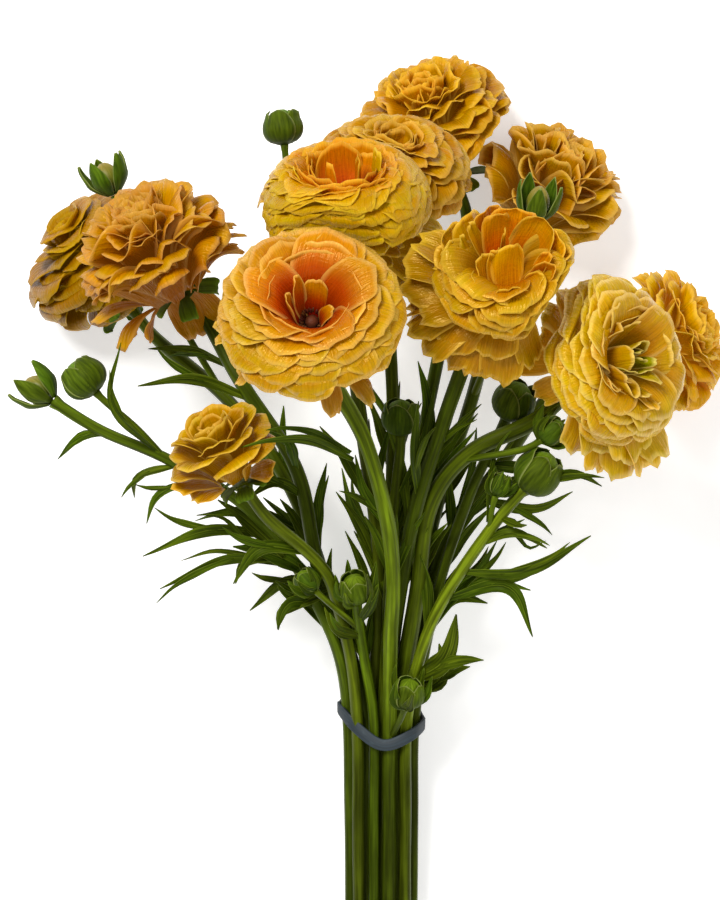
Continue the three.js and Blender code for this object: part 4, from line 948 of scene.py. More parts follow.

# Single petals that give a bloom its face: tip along X, Y and Z from the bloom's middle,
# half width, bend, fold and ring, and how far the petal's foot is moved aside. A petal with
# a ring over 0.5 and under 2 starts under the bloom and hangs free, the higher the darker as
# painted shade under the bloom, and one with a ring of 3 is pale and stands in the cup.
LONE_PETALS = {
    "03": (
        (-10.4, 8.5, 13, 2.8, -10, 0.7, 0), (-6.3, 15.5, 14, 3.6, -14, 0.5, 0.2),
        (9.0, 3.0, 5, 3.6, 30, 0.3, 0.16), (2, 15, 5, 5.4, 10, 0.2, 0),
        (15, -4, 15, 10, -30, 0.1, 0.12), (-29, -24, -10, 7, 20, 0.2, 0.9),
        (24, -34, -12, 4, 20, 0.8, 0.9), (9, -38, -14, 4.5, 20, 0.6, 0.9),
        (-38, -9, -6, 6, 20, 0.3, 0.9)),
    "08": (
        (-13, 26, 5, 9, -10, 0.2, 0.3), (-22, 20, 5, 9, -10, 0.3, 0.4),
        (-25, 9, 4, 9.5, -6, 0.3, 0.4), (-4.7, 29.5, 7, 9, -14, 0.2, 0.1),
        (8, 29.5, 8, 10.5, -14, 0.15, 0.1), (0.5, 26.5, 11, 6.5, -12, 0.3, 0.08),
        (21, 24.3, 10, 9, -16, 0.5, 0.2), (27, 17, 9, 7.5, -12, 0.2, 0.12),
        (30.5, 11, 6, 7, -4, 0.2, 0.4), (32, 4, 4, 8, 0, 0.3, 0.45), (28, -2, 6, 6, 0, 0.4, 0.45),
        (4.5, 13.5, 12, 7.3, -8, 0.1, 3, (3, -7, 4)), (-1, 11.5, 12, 4, -8, 0.1, 3, (-1, -6, 4)),
        (-7, 8.5, 14, 6.4, -6, 0.2, 2.8, (-3, -7, 4)), (3, 19, 14, 1.4, -4, 0.4, 0.3),
        (-11.4, 22.7, 11, 3, -6, 0.9, 0.3), (-14.5, 17, 13, 2.4, -6, 0.8, 0.4),
        (21, 9.6, 13, 3.4, -10, 0.4, 0.1, (6, -4, 3)),
        (22.5, 6.5, 15, 5.4, -18, 1.2, 0.1, (9, -8, 5)), (18, 1, 16, 5, -10, 0.9, 0.2, (8, -9, 5)),
        (-19.8, 14, 11, 5, -4, 0.8, 0.4, (-7, -3, 4)), (-21, 4, 10, 8, -4, 0.3, 0.4, (-6, -3, 3)),
        (-16, 0.5, 15, 4.5, -8, 0.6, 0.35, (-8, -7, 4)), (-10, -2, 18, 8, -6, 0.4, 0.35, (-5, -9, 3)),
        (6, -4, 19, 9, -4, 0.5, 0.4, (0, -9, 3)), (2, -40, -18, 9, 16, 0.2, 0.9),
        (16, -33, -16, 8, 16, 0.3, 0.9), (-10, -38, -15, 7, 12, 0.8, 1.25),
        (-18, -35, -16, 8, 10, 0.5, 1.2), (-27, -29, -15, 9, 8, 0.4, 1.3),
        (-20, -27, -10, 10, 12, 0.3, 0.9), (-34, -21, -14, 7.5, 8, 0.5, 1.2),
        (-34, -12, -14, 6, 8, 0.6, 1.4), (-29, -14, -8, 10, 12, 0.3, 1.3),
        (-37, -3, -12, 10, 8, 0.3, 1.4), (-36, 6, -10, 10, 8, 0.2, 1.3),
        (-31, 15, -8, 9, 8, 0.3, 1.2), (-2, -30, -8, 11, 20, 0.2, 0.8)),
    "09": (
        (10.5, 7.5, 17, 3.4, 0, 0.3, -1), (14.6, -0.5, 17, 3.6, 0, 0.2, -1),
        (8.5, -1, 17, 3.2, 0, 0.2, -1), (17, 3, 16, 2.8, 10, 0.3, -1), (12, 3.5, 19, 3.0, 0, 0.2, -1),
        (18.5, -5.7, 18, 2.8, 30, 0.4, -0.5), (13.4, -11, 20, 4, 10, 0.6, -0.4),
        (17.4, -17.5, 17, 3.6, 20, 0.5, -0.2), (9.4, 19.5, 18, 3.2, 10, 0.7, -0.2),
        (12.5, 12, 17, 4.2, 0, 0.7, -0.5), (2.5, 16.5, 21, 3.8, 0, 0.9, 0),
        (6.5, 5, 22, 5.5, -4, 0.8, 0), (4, -5, 23, 4.4, 0, 1.0, 0), (7.5, -11.5, 22, 4, 4, 1.3, 0),
        (-0.8, -9.5, 23, 3.6, 0, 1.1, 0.1), (-8.5, 17.5, 20, 3.2, 0, 0.8, 0.2),
        (-5, 20, 19, 3.2, 0, 0.8, 0.2), (-1, 21, 18, 3.4, 0, 0.9, 0.2), (-7, 4, 23, 6, 10, 0.8, 0.2),
        (-41, 4, -15, 6, 10, 0.3, 0.9), (-30, -10, -14, 6, 10, 0.3, 0.9),
        (5, -44, -16, 9, 10, 0.4, 0.9), (-6, -40, -15, 8, 10, 0.4, 0.9),
        (-15, -33, -14, 9, 10, 0.3, 0.9), (14, -41, -15, 9, 10, 0.3, 0.9),
        (22, -35, -15, 9, 10, 0.3, 0.9), (8, -37, -8, 11, 20, 0.2, 0.8),
        (-8, -33, -6, 11, 20, 0.2, 0.8), (-21, 34, -6, 8, 20, 0.2, 0.9),
        (-26, 26, -6, 8, 20, 0.2, 0.9), (-28, 17, -6, 8, 20, 0.2, 0.9)),
    "04": (
        (-3.7, 25, 8, 10.5, -16, 0.05, 0), (-7, 16, 15, 3.6, -8, 0.2, 0.12),
        (-16, 21, 9, 5.5, -10, 0.4, 0.2), (-21, 13, 16, 7.5, -6, 0.1, 0.5),
        (13, 22, 12, 5.5, -10, 0.4, 0.5), (6.5, 19, 14, 3.4, -8, 0.9, 0.1),
        (-18, -14, 20, 11, 80, 0.1, 0.6), (0, -17, 22, 12, 80, 0.1, 0.6),
        (17, -14, 19, 11, 80, 0.1, 0.6), (9, -22, 15, 11, 80, 0.1, 0.7),
        (-10, -23, 14, 11, 80, 0.1, 0.7), (27, -8, 12, 10, 80, 0.1, 0.6),
        (-28, -8, 10, 9, 80, 0.1, 0.6), (22, -18, -6, 8, 30, 0.3, 0.9),
        (32, -22, -12, 8, 20, 0.4, 0.9), (14, -27, -2, 8, 30, 0.3, 0.9),
        (38, -12, -14, 7, 20, 0.4, 0.9), (25, -32, -12, 9, 10, 0.3, 1.3),
        (31, -28, -14, 9, 10, 0.3, 1.3)),
    "02": (
        (35, 8, -10, 3.6, 30, 1.2, 0.9), (32, 14, -8, 4, 30, 1.2, 0.9), (34, 1, -12, 4, 20, 1.0, 0.9),
        (-17, -38, -14, 5, 10, 0.9, 0.9), (-2, -34, -14, 7, 10, 0.5, 0.9),
        (-28, -27, -12, 7, 10, 0.6, 0.9), (16, -33, -34, 7, 10, 0.6, 1.2),
        (24, -26, -32, 7, 10, 0.5, 1.2)),
    "11": (
        (-20, -15, -2, 7, -20, 0.2, 0.9), (-12, -20, 0, 8.5, -24, 0.2, 0.9),
        (21, -6, -4, 8, -20, 0.2, 0.9)),
    "01": (
        (-14, -28, 5, 10, 60, 0.3, 0.5), (-4, -31, 6, 10, 60, 0.3, 0.5),
        (7, -30, 7, 10, 60, 0.3, 0.5), (-22, -20, 8, 10, 70, 0.3, 0.5),
        (-28, -10, 6, 10, 70, 0.3, 0.5), (16, -26, 8, 10, 60, 0.3, 0.5),
        (-10, -20, 17, 11, 75, 0.2, 0.5), (1, -22, 17, 11, 75, 0.2, 0.5),
        (11, -19, 18, 11, 75, 0.2, 0.5), (-19, -12, 17, 11, 75, 0.2, 0.5),
        (-24, -1, 14, 11, 75, 0.2, 0.5), (-6, -11, 25, 12, 80, 0.2, 0.5),
        (5, -11, 25, 12, 80, 0.2, 0.5), (-14, -4, 25, 12, 80, 0.2, 0.5),
        (-19, 7, 21, 12, 80, 0.2, 0.5), (-2, -2, 30, 12, 80, 0.2, 0.5), (-9, 4, 29, 12, 80, 0.2, 0.5),
        (-13, 16, 11, 4.5, -20, 0.3, 0), (-15, 13, 11, 4.5, -20, 0.3, 0),
        (-10.5, 16, 13, 4.5, -20, 0.3, 0), (-13, 18, 8, 4.5, -20, 0.3, 0),
        (-12, 13, 13, 4.5, -20, 0.3, 0), (-6.5, 7.8, 10.8, 6, -4, 0.2, 0, (-2, 2.5, -6.2)),
        (-9.4, 11.3, 1.9, 6, -4, 0.2, 0, (2, -2.5, 6.2))),
}


SINGLE_LOOK = dict(stand=4, hug=0.5, round=0.42)
HANGING_LOOK = dict(round=0.32, nick=0.04, ruffle=1.5)    # ragged and wavy where it hangs


def add_lone_petal(shape, bloom, look, fronts, number, x, y, z, half_width, bend, fold, ring,
                   shift=(0, 0, 0)):
    """One petal told by where its tip is, and by how far its foot is shifted."""
    spot = np.subtract((x, y, z), shift) - bloom.moved
    high = spot @ bloom.pole
    level = spot - high * bloom.pole
    turn = math.atan2(level @ bloom.pole_up, level @ bloom.pole_across)
    hangs = 0.5 < ring < 2
    root_out, root_up = HANGING_ROOT if hangs else SINGLE_ROOT
    root = (root_out * bloom.radius, root_up * bloom.half)
    own = dict(look, **SINGLE_LOOK)
    own.update(fold=fold / max(0.3, abs(jitter(number * 3 + 0.5))), shift=np.array(shift, float))
    if hangs:
        own.update(HANGING_LOOK)
    line = (float(np.linalg.norm(level)), float(high)), root, bend
    add_petal(shape, bloom, line, turn, half_width, own, fronts, ring, number, hangs)


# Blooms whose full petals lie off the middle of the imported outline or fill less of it:
# how far their middle moves, and their radius across and up. Hanging petals fill the rest.
FACES = {"08": ((3.7, 2.0, 0), 29.5, 29.5), "09": ((-0.5, 4.0, 0), 36.0, 30.5)}


def dressed_bloom(name):
    """The outline that a bloom's petals fill, with the line that they grow round."""
    bloom, look = Bloom(name, *BLOOM_PLACES[name]), LOOKS[name]
    if name in FACES:
        moved, bloom.radius, bloom.tall = FACES[name]
        bloom.moved = np.array(moved, float)
        bloom.centre = bloom.centre + bloom.moved
    if "pole" in look:
        bloom.grow_toward(look["pole"])
    return bloom


# A bloom over which a neighbour leans: its petals give way as if that stood so much higher.
LEANS_OVER = {"08": ("09", 22)}


def leaning_neighbour(name):
    """The outline of the neighbour that leans over a bloom."""
    other, higher = LEANS_OVER[name]
    leaning = dressed_bloom(other)
    leaning.centre = leaning.centre + (0, 0, higher)
    return leaning


BLOOM_NUMBERS = 200     # petal numbers kept for each bloom, so that its draws are its own
FIRST_LONE = 160        # and the first one of its single petals


def is_bare(look, away, u):
    """Whether a petal pointing that way, u of the way out, is left to the single petals."""
    return any(away @ way > least and low <= u < high for way, least, low, high in look.get("bare", ()))


def grow_bloom(name, fronts):
    """All petals of a bloom, at the golden angle from one to the next."""
    bloom, look = DRESSED[name], LOOKS[name]
    if name in LEANS_OVER:
        fronts = [*fronts, leaning_neighbour(name)]
    shape = Shape()
    count = look["petals"]
    seed = int(name) * BLOOM_NUMBERS
    for k in range(count):
        u = k / (count - 1)
        number = seed + k
        turn = k * GOLDEN_ANGLE + 0.25 * jitter(number + 0.9)
        away = bloom.ways(turn)[0]
        if is_bare(look, away, u):
            continue
        line = petal_line(bloom, look, u, away, jitter(number * 2 + 0.1))
        half_width = mix(*look["widths"], u) * (1 + 0.16 * jitter(number + 0.6))
        add_petal(shape, bloom, line, turn, half_width, look, fronts, u, number)
    for k, petal in enumerate(LONE_PETALS.get(name, ())):
        add_lone_petal(shape, bloom, look, fronts, seed + FIRST_LONE + k, *petal)
    return shape


BLOOM_ORDER = list(BLOOM_PLACES)
DRESSED = {name: dressed_bloom(name) for name in BLOOM_ORDER}
for order, name in enumerate(BLOOM_ORDER):
    fronts = [DRESSED[other] for other in BLOOM_ORDER[:order]]
    material = satin_petal("satin_petal_" + name, *PETAL_COLOURS[name])
    piece("petals_" + name, grow_bloom(name, fronts), material, ["bloom_" + name])

# ---- stems, leaves and buds --------------------------------------------------------


STEM_SIDES = 16
STEM_STEP = 1.8              # mm from ring to ring along a stem
LOBE_STEP = 2.5              # and from row to row along a leaf
BLADE_THICKNESS = 0.5        # of leaves and sepals
CUT_END = ((0.42, 2.6), (0.5, 0.25), (0.9, -0.05))   # share of the radius, depth in the stem
# How light a stem's green is: 0 dark, 1 light.
STEM_LIGHT = {"03": 1.5, "13": 1.0, "09": 0.25, "11": 0.4, "12": 0.3, "16": 0.5, "08": 0.1, "01": 0.15}
SHOOT_LIGHT = 0.45
SHADED_LIGHT = -0.2          # below the band, where the stems lie close together
SHADED_FROM = (-150, -95)    # along Y, over which they get there


def add_stem(shape, strand, number):
    """A ridged stem or shoot, wider where it meets its bloom, with a hollow cut end."""
    path = curve_points(smoothed(strand.samples), None, STEM_STEP)
    radius = strand.radius
    if strand.bloom:
        bloom = BLOOMS[strand.bloom]
        path = path[np.linalg.norm(path - bloom.base, axis=1) > 1.2]
        path = np.vstack([path, bloom.base - bloom.axis * PIECE_GAP])
    else:
        _, length, _, is_open = strand.bud
        short = length * (0.5 if is_open else 0.42)
        path = path[np.linalg.norm(path - path[-1], axis=1) > short]
    ahead, side, up = carried_frames(path)
    run = np.concatenate([[0], np.cumsum(np.linalg.norm(np.diff(path, axis=0), axis=1))])
    left = run[-1] - run
    radii = radius * (1 + 0.03 * np.sin(run * 0.11 + number))
    if strand.bloom:
        radii = radii * (1 - 0.12 * smooth(30, 8, left) + 0.95 * smooth(6, 0.5, left))
    else:
        radii = radii * (1 + 0.3 * smooth(4, 0, left))
    turn = np.arange(STEM_SIDES) * 2 * math.pi / STEM_SIDES
    ridge = 1 + 0.035 * np.cos(8 * turn + number) + 0.03 * np.cos(3 * turn + number * 2)
    ring = np.cos(turn)[None, :, None] * side[:, None] + np.sin(turn)[None, :, None] * up[:, None]
    rings = path[:, None] + ring * (radii[:, None] * ridge)[..., None]
    mask = np.zeros(rings.shape[:2])
    grain = np.stack(np.broadcast_arrays(turn[None, :] * radius, run[:, None], number * 23.0), axis=-1)
    if strand.kind == "stem":
        # the cut: a bevel, the pale wall, and the hollow of the stem
        cut = [path[0] + ring[0] * radius * share + ahead[0] * depth for share, depth in CUT_END]
        rings = np.concatenate([cut, rings])
        mask = np.concatenate([np.ones((len(cut), STEM_SIDES)), mask])
        grain = np.concatenate([np.repeat(grain[:1], len(cut), axis=0), grain])
    rings[..., 2] = np.maximum(rings[..., 2], 0.2)
    light = STEM_LIGHT.get(strand.stem, 0) if strand.kind == "stem" else SHOOT_LIGHT
    light = mix(SHADED_LIGHT, light, smooth(*SHADED_FROM, rings[..., 1]))
    place = np.stack([mask, light, 0 * mask], axis=-1)
    add_rings(shape, rings, place, grain, scatter(number * 7 + 0.3))


LEAF_WIDEST = 0.45           # share of its length where a leaf is widest
LEAF_ROOT = 0.5              # its width at the root and at the tip, as shares of the widest
LEAF_TIP = 0.08
LEAF_FOLD = 0.35             # how steeply its halves rise from the rib


def add_leaf(shape, path, half, number):
    """One narrow pointed lobe along a path, folded along its rib."""
    rows, columns = len(path) - 1, 4
    x = np.linspace(-1, 1, columns + 1)[None, :]
    v = np.linspace(0, 1, rows + 1)[:, None]
    ahead = np.gradient(path, axis=0)
    ahead /= np.linalg.norm(ahead, axis=1)[:, None]
    side = np.cross(ahead, (0, 0, 1))
    side /= np.linalg.norm(side, axis=1)[:, None] + 1e-6
    up = np.cross(side, ahead)
    twist = 0.5 * np.sin(v[:, 0] * 2.2 + number)[:, None]
    side, up = side * np.cos(twist) + up * np.sin(twist), up * np.cos(twist) - side * np.sin(twist)
    rising = mix(LEAF_ROOT, 1, smooth(0, LEAF_WIDEST, v))
    falling = mix(1, LEAF_TIP, (np.maximum(v - LEAF_WIDEST, 0) / (1 - LEAF_WIDEST)) ** 1.3)
    width = half * np.where(v < LEAF_WIDEST, rising, falling)
    width = width * (1 + 0.06 * np.sin(v * 15 + number))
    grid = (path[:, None] + (x * width)[..., None] * side[:, None]
            + (np.abs(x) * width * LEAF_FOLD)[..., None] * up[:, None])
    length = np.linalg.norm(np.diff(path, axis=0), axis=1).sum()
    # the rib and the edges are the pale parts
    rib = 1 - np.minimum(1, np.abs(x) * 3)
    pale = np.maximum(np.abs(x) * 0.97, rib * 0.985)
    place = np.stack(np.broadcast_arrays(pale, 0.25 * v, x), axis=-1)
    grain = np.stack(np.broadcast_arrays(x * width, v * length, number * 13.0), axis=-1)
    add_blade(shape, grid, BLADE_THICKNESS, place, grain, scatter(number * 3 + 0.2))


def clear_of_blooms(path):
    """Whether a leaf on that path stays out of every bloom."""
    return all(bloom.size_of(path, 1.0).min() > 1 for bloom in BLOOMS.values())


SHORTEST_FORKED = 22         # mm; a shorter leaf has no side lobe


def add_forked_leaf(shape, strand, number):
    """A divided leaf: its main lobe, and a slim side lobe that leaves it part way."""
    path = curve_points(smoothed(strand.samples, 1), None, LOBE_STEP)
    add_leaf(shape, path, strand.half, number)
    run = np.linalg.norm(np.diff(path, axis=0), axis=1).sum()
    if run < SHORTEST_FORKED:
        return
    way = 1 if scatter(number * 3) > 0.5 else -1
    begin = int(len(path) * (0.28 + 0.16 * scatter(number * 2)))
    start, ahead = path[begin], unit(path[begin + 1] - path[begin])
    side = unit(np.cross(ahead, (0, 0, 1))) * way
    long = run * (0.42 + 0.2 * scatter(number * 5))
    drift = np.array([0, 0, 4 * jitter(number * 9)])
    points = [start, start + ahead * long * 0.4 + side * long * 0.1,
              start + ahead * long * 0.75 + side * long * 0.24 + drift * 0.5,
              start + ahead * long + side * long * 0.42 + drift]
    lobe = curve_points(points, None, LOBE_STEP)
    if clear_of_blooms(lobe):
        add_leaf(shape, lobe, strand.half * 0.62, number + 0.37 * way)


# Tufts of slim leaves that fill the middle of the bunch: the stem, where along Y they
# leave it, how long they are, and how far they lie behind it.
TUFTS = (
    ("04", -78, 40, 6), ("04", -52, 44, 8), ("04", -26, 38, 9), ("05", -70, 42, 4), ("05", -40, 44, 2),
    ("05", -12, 36, 0), ("06", -64, 44, 0), ("06", -34, 46, -2), ("07", -60, 42, 2), ("07", -30, 44, 0),
    ("08", -62, 40, 8), ("08", -34, 44, 8), ("08", -6, 36, 8), ("15", -70, 36, 4), ("15", -44, 38, 5),
    ("10", -58, 42, 4), ("10", -34, 40, 2), ("09", -58, 34, 10), ("13", -78, 34, 8), ("14", -74, 34, 8),
    ("14", -40, 34, 6), ("03", -56, 34, 12), ("11", -84, 30, 8), ("02", -46, 34, 6), ("01", -48, 36, 4),
    ("12", -80, 32, 6), ("16", -92, 28, 6), ("01", -20, 30, 2),
)


# Leaves that lie in plain sight, under the stem that they grow from: half width, then points
# from root to tip.
SINGLE_LEAVES = {
    "12": ((4.0, (-20, -54, 66), (-30, -47, 68), (-41, -43, 68), (-54, -41, 66)),
           (1.3, (-36, -47, 68), (-47, -45, 67), (-62, -43, 66), (-76, -47, 64)),
           (2.2, (-30, -47, 66), (-41, -46, 68), (-50, -49, 66), (-53, -57, 60)),
           (3.4, (-32, -45, 70), (-41, -36, 72), (-51, -27, 73), (-60, -21, 74)),
           (1.2, (-42, -41, 72), (-49, -37, 74), (-57, -29, 75), (-67, -27, 74))),
    "16": ((3.4, (-9, -58, 62), (-18, -62, 62), (-28, -66, 60), (-34, -70, 58), (-35, -77, 55)),),
    "03": ((2.1, (-3, -4, 107), (-20, 4, 126), (-36, 4, 136), (-48, 1, 136)),
           (1.8, (-4, -1, 110), (-18, 7, 122), (-30, 9, 130), (-38, 8, 130))),
    "13": ((1.0, (60, -29, 90), (66, -36, 86), (71, -41, 84), (78, -38, 82)),
           (1.7, (50, -38, 86), (58, -34, 86), (69, -29, 84)),
           (1.0, (53, -30, 88), (54, -12, 92), (57, 0, 94), (63, 8, 94), (69, 9, 92))),
}


def add_tuft(shape, stem, y, length, behind, number):
    """Three lobes that leave a stem together and lie close to it."""
    begin = int(np.argmin(np.abs(stem.samples[:, 1] - y)))
    start, ahead = stem.samples[begin], unit(stem.samples[begin + 1] - stem.samples[begin])
    side = unit(np.cross(ahead, (0, 0, 1)))
    for k, way in enumerate((-1, 0.15, 1)):
        long = length * (0.85 + 0.4 * scatter(number * 3 + k))
        spread = way * (0.24 + 0.12 * scatter(number * 7 + k))
        drop = np.array([0, 0, -behind - 4 * scatter(number * 5 + k)])
        points = [start, start + ahead * long * 0.35 + side * long * spread * 0.3 + drop * 0.6,
                  start + ahead * long * 0.7 + side * long * spread * 0.72 + drop,
                  start + ahead * long + side * long * spread * 1.25 + drop * 0.8]
        lobe = curve_points(points, None, LOBE_STEP)
        lobe[:, 2] = np.maximum(lobe[:, 2], 2.5)
        if clear_of_blooms(lobe):
            add_leaf(shape, lobe, 1.7 + 1.1 * scatter(number + k), number + 0.3 * k)


def bud_width(t):
    """How wide a closed bud is at a share of its height."""
    return np.sqrt(np.maximum(0, 1 - (2 * t - 1) ** 2)) * (1.13 - 0.24 * t)


def add_egg(shape, at, axis, length, radius, number, sides=20, rows=12):
    """The rolled petals of a bud, with soft folds."""
    across, up = frame_about(axis)
    t = np.linspace(0.03, 0.985, rows + 1)[:, None]
    turn = (np.arange(sides) * 2 * math.pi / sides)[None, :]
    fold = 1 + 0.05 * np.cos(5 * turn + 4 * t + number)
    wide = radius * bud_width(t) * fold
    rings = (at + ((t - 0.5) * length)[..., None] * axis
             + (wide * np.cos(turn))[..., None] * across + (wide * np.sin(turn))[..., None] * up)
    place = np.stack(np.broadcast_arrays(0.0, t, 0 * turn), axis=-1)
    grain = np.stack(np.broadcast_arrays(turn * radius, t * length, number * 9.0), axis=-1)
    add_rings(shape, rings, place, grain, scatter(number))


def add_sepals(shape, at, axis, length, radius, spread, number):
    """Five pointed sepals that wrap a bud, or stand off it where it is opening."""
    across, up = frame_about(axis)
    rows, columns = 12, 6
    x = np.linspace(-1, 1, columns + 1)[None, :]
    v = np.linspace(0, 1, rows + 1)[:, None]
    for k in range(5):
        turn = k * 2 * math.pi / 5 + 0.4 + number
        if spread:
            belly = np.sin(math.pi * 0.5 * np.minimum(1, v / 0.5))
            swell = radius * (0.3 + 0.8 * belly + spread * 0.5 * np.maximum(0, v - 0.5))
            swell = swell - radius * 0.5 * np.maximum(0, v - 0.8)
            half = mix(0.62, 0.03, v ** 2.2) * np.where(v < 0.3, mix(0.75, 1, v / 0.3), 1)
            high = v * length * 0.95 - length / 2
        else:
            t = mix(0.02, 0.95, v) + 0.02 * jitter(number * 3 + k)
            swell = radius * bud_width(t) * 1.04 + 0.25 + 0.35 * (k % 2) + 0.5 * np.abs(v - 0.5) ** 3
            swell = swell + radius * (0.1 + 0.22 * scatter(number * 7 + k)) * smooth(0.72, 1, v)
            half = 0.92 * np.sqrt(np.maximum(0.002, 1 - v ** 3.2)) + 0.02
            high = (t - 0.5) * length * 1.02
        angle = turn + x * half
        swell = swell + 0.25 * (x + 1) - 0.15 * radius * spread * x * x
        grid = (at + high[..., None] * axis + (swell * np.cos(angle))[..., None] * across
                + (swell * np.sin(angle))[..., None] * up)
        share = np.maximum(np.abs(x) * np.ones_like(v), v ** 3)
        place = np.stack(np.broadcast_arrays(share, 0.2 * v, x), axis=-1)
        grain = np.stack(np.broadcast_arrays(x * half * radius, v * length, number * 5.0 + k), axis=-1)
        add_blade(shape, grid, BLADE_THICKNESS, place, grain, scatter(number * 4 + k))


SMALL_BUD = 13.0      # mm; a bud no longer than this still sits among small leaves
BRACT_STEP = 2.0


def add_bracts(shape, at, axis, length, radius, number):
    """The ruff of small leaves round a young bud."""
    across, up = frame_about(axis)
    root = at - axis * length * 0.6
    for k in range(6):
        turn = k * GOLDEN_ANGLE + number
        away = across * math.cos(turn) + up * math.sin(turn)
        reach = length * (0.95 + 0.5 * scatter(number * 5 + k))
        points = [root, root + axis * reach * 0.4 + away * radius * 1.25,
                  root + axis * reach + away * radius * (1.3 + 0.9 * scatter(number * 3 + k))]
        lobe = curve_points(points, None, BRACT_STEP)
        if clear_of_blooms(lobe):
            add_leaf(shape, lobe, 1.9 + scatter(number + k), number + 0.21 * k)


def add_calyx(shape, bloom, radius, number):
    """Sepals bent back under an open bloom."""
    for k in range(5):
        turn = k * 2 * math.pi / 5 + number
        line = ((bloom.radius * 0.42, -bloom.half * 1.06), (radius * 1.2, -bloom.half * 0.88), 60)
        look = dict(hug=0.3, ruffle=0.5, fold=0.2, flare=-1.0, roll_back=0.0, stand=8, round=0.5, nick=0)
        add_petal(shape, bloom, line, turn, 4.2, look, [], 0.0, number * 31 + k, True)


number = 0
for stem in STEM_STRANDS:
    label = ("flower_stem_" if stem.bloom else "bud_stem_") + stem.stem
    own = [strand for strand in STRANDS if strand.stem == stem.stem]
    stems_shape, leaves_shape, sepals_shape, petals_shape = Shape(), Shape(), Shape(), Shape()
    for strand in own:
        number += 1
        if strand.kind == "leaf":
            add_forked_leaf(leaves_shape, strand, number)
            continue
        add_stem(stems_shape, strand, number)
        if strand.bloom:
            add_calyx(sepals_shape, BLOOMS[strand.bloom], strand.radius, number)
        if strand.bud:
            _, length, radius, spread = strand.bud
            at, axis = strand.samples[-1], strand.end_direction()
            add_sepals(sepals_shape, at, axis, length, radius, spread, number)
            if spread:
                high = length * BUD_HEART_HEIGHT
                lifted = at + axis * (CUP_TOP + PIECE_GAP + high / 2 - length / 2)
                heart = Shape()
                add_egg(heart, lifted, axis, high, radius * BUD_HEART_WIDTH, number)
                side = "" if strand.kind == "stem" else "_side"
                piece("rolled_petals_" + stem.stem, heart, BUD_PETAL,
                      ["bud_petals_" + stem.stem + side])
            else:
                add_egg(petals_shape, at, axis, length * 0.98, radius * 0.97, number)
            if length <= SMALL_BUD:
                add_bracts(leaves_shape, at, axis, length, radius, number)
    for order, (_, y, length, behind) in enumerate(tuft for tuft in TUFTS if tuft[0] == stem.stem):
        add_tuft(leaves_shape, stem, y, length, behind, number * 3 + order)
    for half, *points in SINGLE_LEAVES.get(stem.stem, ()):
        number += 1
        add_leaf(leaves_shape, curve_points(points, None, LOBE_STEP), half, number)
    piece("stem_" + stem.stem, stems_shape, STEM_GREEN, [label])
    for kind, shape, material in (("leaves_", leaves_shape, LEAF_GREEN),
                                  ("sepals_", sepals_shape, SEPAL_GREEN),
                                  ("bud_inside_", petals_shape, SEPAL_GREEN)):
        if shape.count:
            piece(kind + stem.stem, shape, material, [label])

# ---- hearts of the open blooms -----------------------------------------------------

# Colours of the stamens from foot to top, and how many there are.
HEARTS = {
    "03": ("#2C0A02", "#5E2C0A", 60), "08": ("#8A3A0C", "#C06A20", 16),
    "09": ("#5E7A14", "#A8A83C", 26), "11": ("#6E7A18", "#A6A040", 14),
}


def grow_heart(bloom, stamens, number):
    """A button of pistils with stamens round it."""
    shape = Shape()
    wide = bloom.radius * 0.07
    foot = -bloom.half * 0.3 + PIECE_GAP - wide * 0.4
    sides = 18
    turn = (np.arange(sides) * 2 * math.pi / sides)[None, :]
    profile = np.array([(0.2, 0), (1, 0), (1.15, 0.6), (0.9, 1.2), (0.5, 1.6), (0.12, 1.75)])
    outs, highs = profile[:, :1] * wide, foot + profile[:, 1:] * wide
    bumps = outs * (1 + 0.08 * np.cos(turn * 7 + highs * 2))
    rings = (bloom.centre + highs[..., None] * bloom.axis
             + (bumps * np.cos(turn))[..., None] * bloom.across
             + (bumps * np.sin(turn))[..., None] * bloom.up)
    share = np.broadcast_to((highs - foot) / (1.75 * wide), bumps.shape)
    place = np.stack([0 * share, share, 0 * share], axis=-1)
    add_rings(shape, rings, place, np.stack([bumps, share * 5, 0 * share], axis=-1), 0.4)
    for k in range(stamens):
        angle = k * GOLDEN_ANGLE
        lean = mix(0.9, 1.9, (k + 0.5) / stamens)
        away = bloom.across * math.cos(angle) + bloom.up * math.sin(angle)
        start = bloom.centre + bloom.axis * foot + away * wide * 0.9
        rise = wide * (2.6 - 0.7 * lean + 0.4 * scatter(k))
        tip = start + bloom.axis * rise + away * wide * 0.8 * lean
        path = curve_points([start, mix(start, tip, 0.55) + bloom.axis * 0.4, tip], 6)
        _, side, up = carried_frames(path)
        radii = np.array([0.22, 0.2, 0.2, 0.25, 0.5, 0.52, 0.2])    # a thread with an anther on it
        round_it = (np.arange(6) * math.pi / 3)[None, :, None]
        ring = np.cos(round_it) * side[:, None] + np.sin(round_it) * up[:, None]
        rings = path[:, None] + ring * radii[:, None, None]
        t = np.broadcast_to(np.linspace(0, 1, 7)[:, None], (7, 6))
        place = np.stack([0 * t, t, 0 * t], axis=-1)
        add_rings(shape, rings, place, place * 3, scatter(k + number))
    return shape


for number, (name, (foot, top, stamens)) in enumerate(HEARTS.items()):
    piece("heart_" + name, grow_heart(BLOOMS[name], stamens, number),
          stamen_material("stamens_" + name, foot, top), ["centre_" + name])

# ---- the rubber band ---------------------------------------------------------------


BAND_POINTS = 112
BAND_SOFTENING = 14     # rounds in which its bends are evened out
BAND_SLACK = 0.35       # kept free for them
BAND_BOW = 12           # height in mm that the soft bow over its top is drawn for
BAND_TILT = 3.5         # mm that it sits higher on the left than in its middle
BAND_LIFT = 1.0
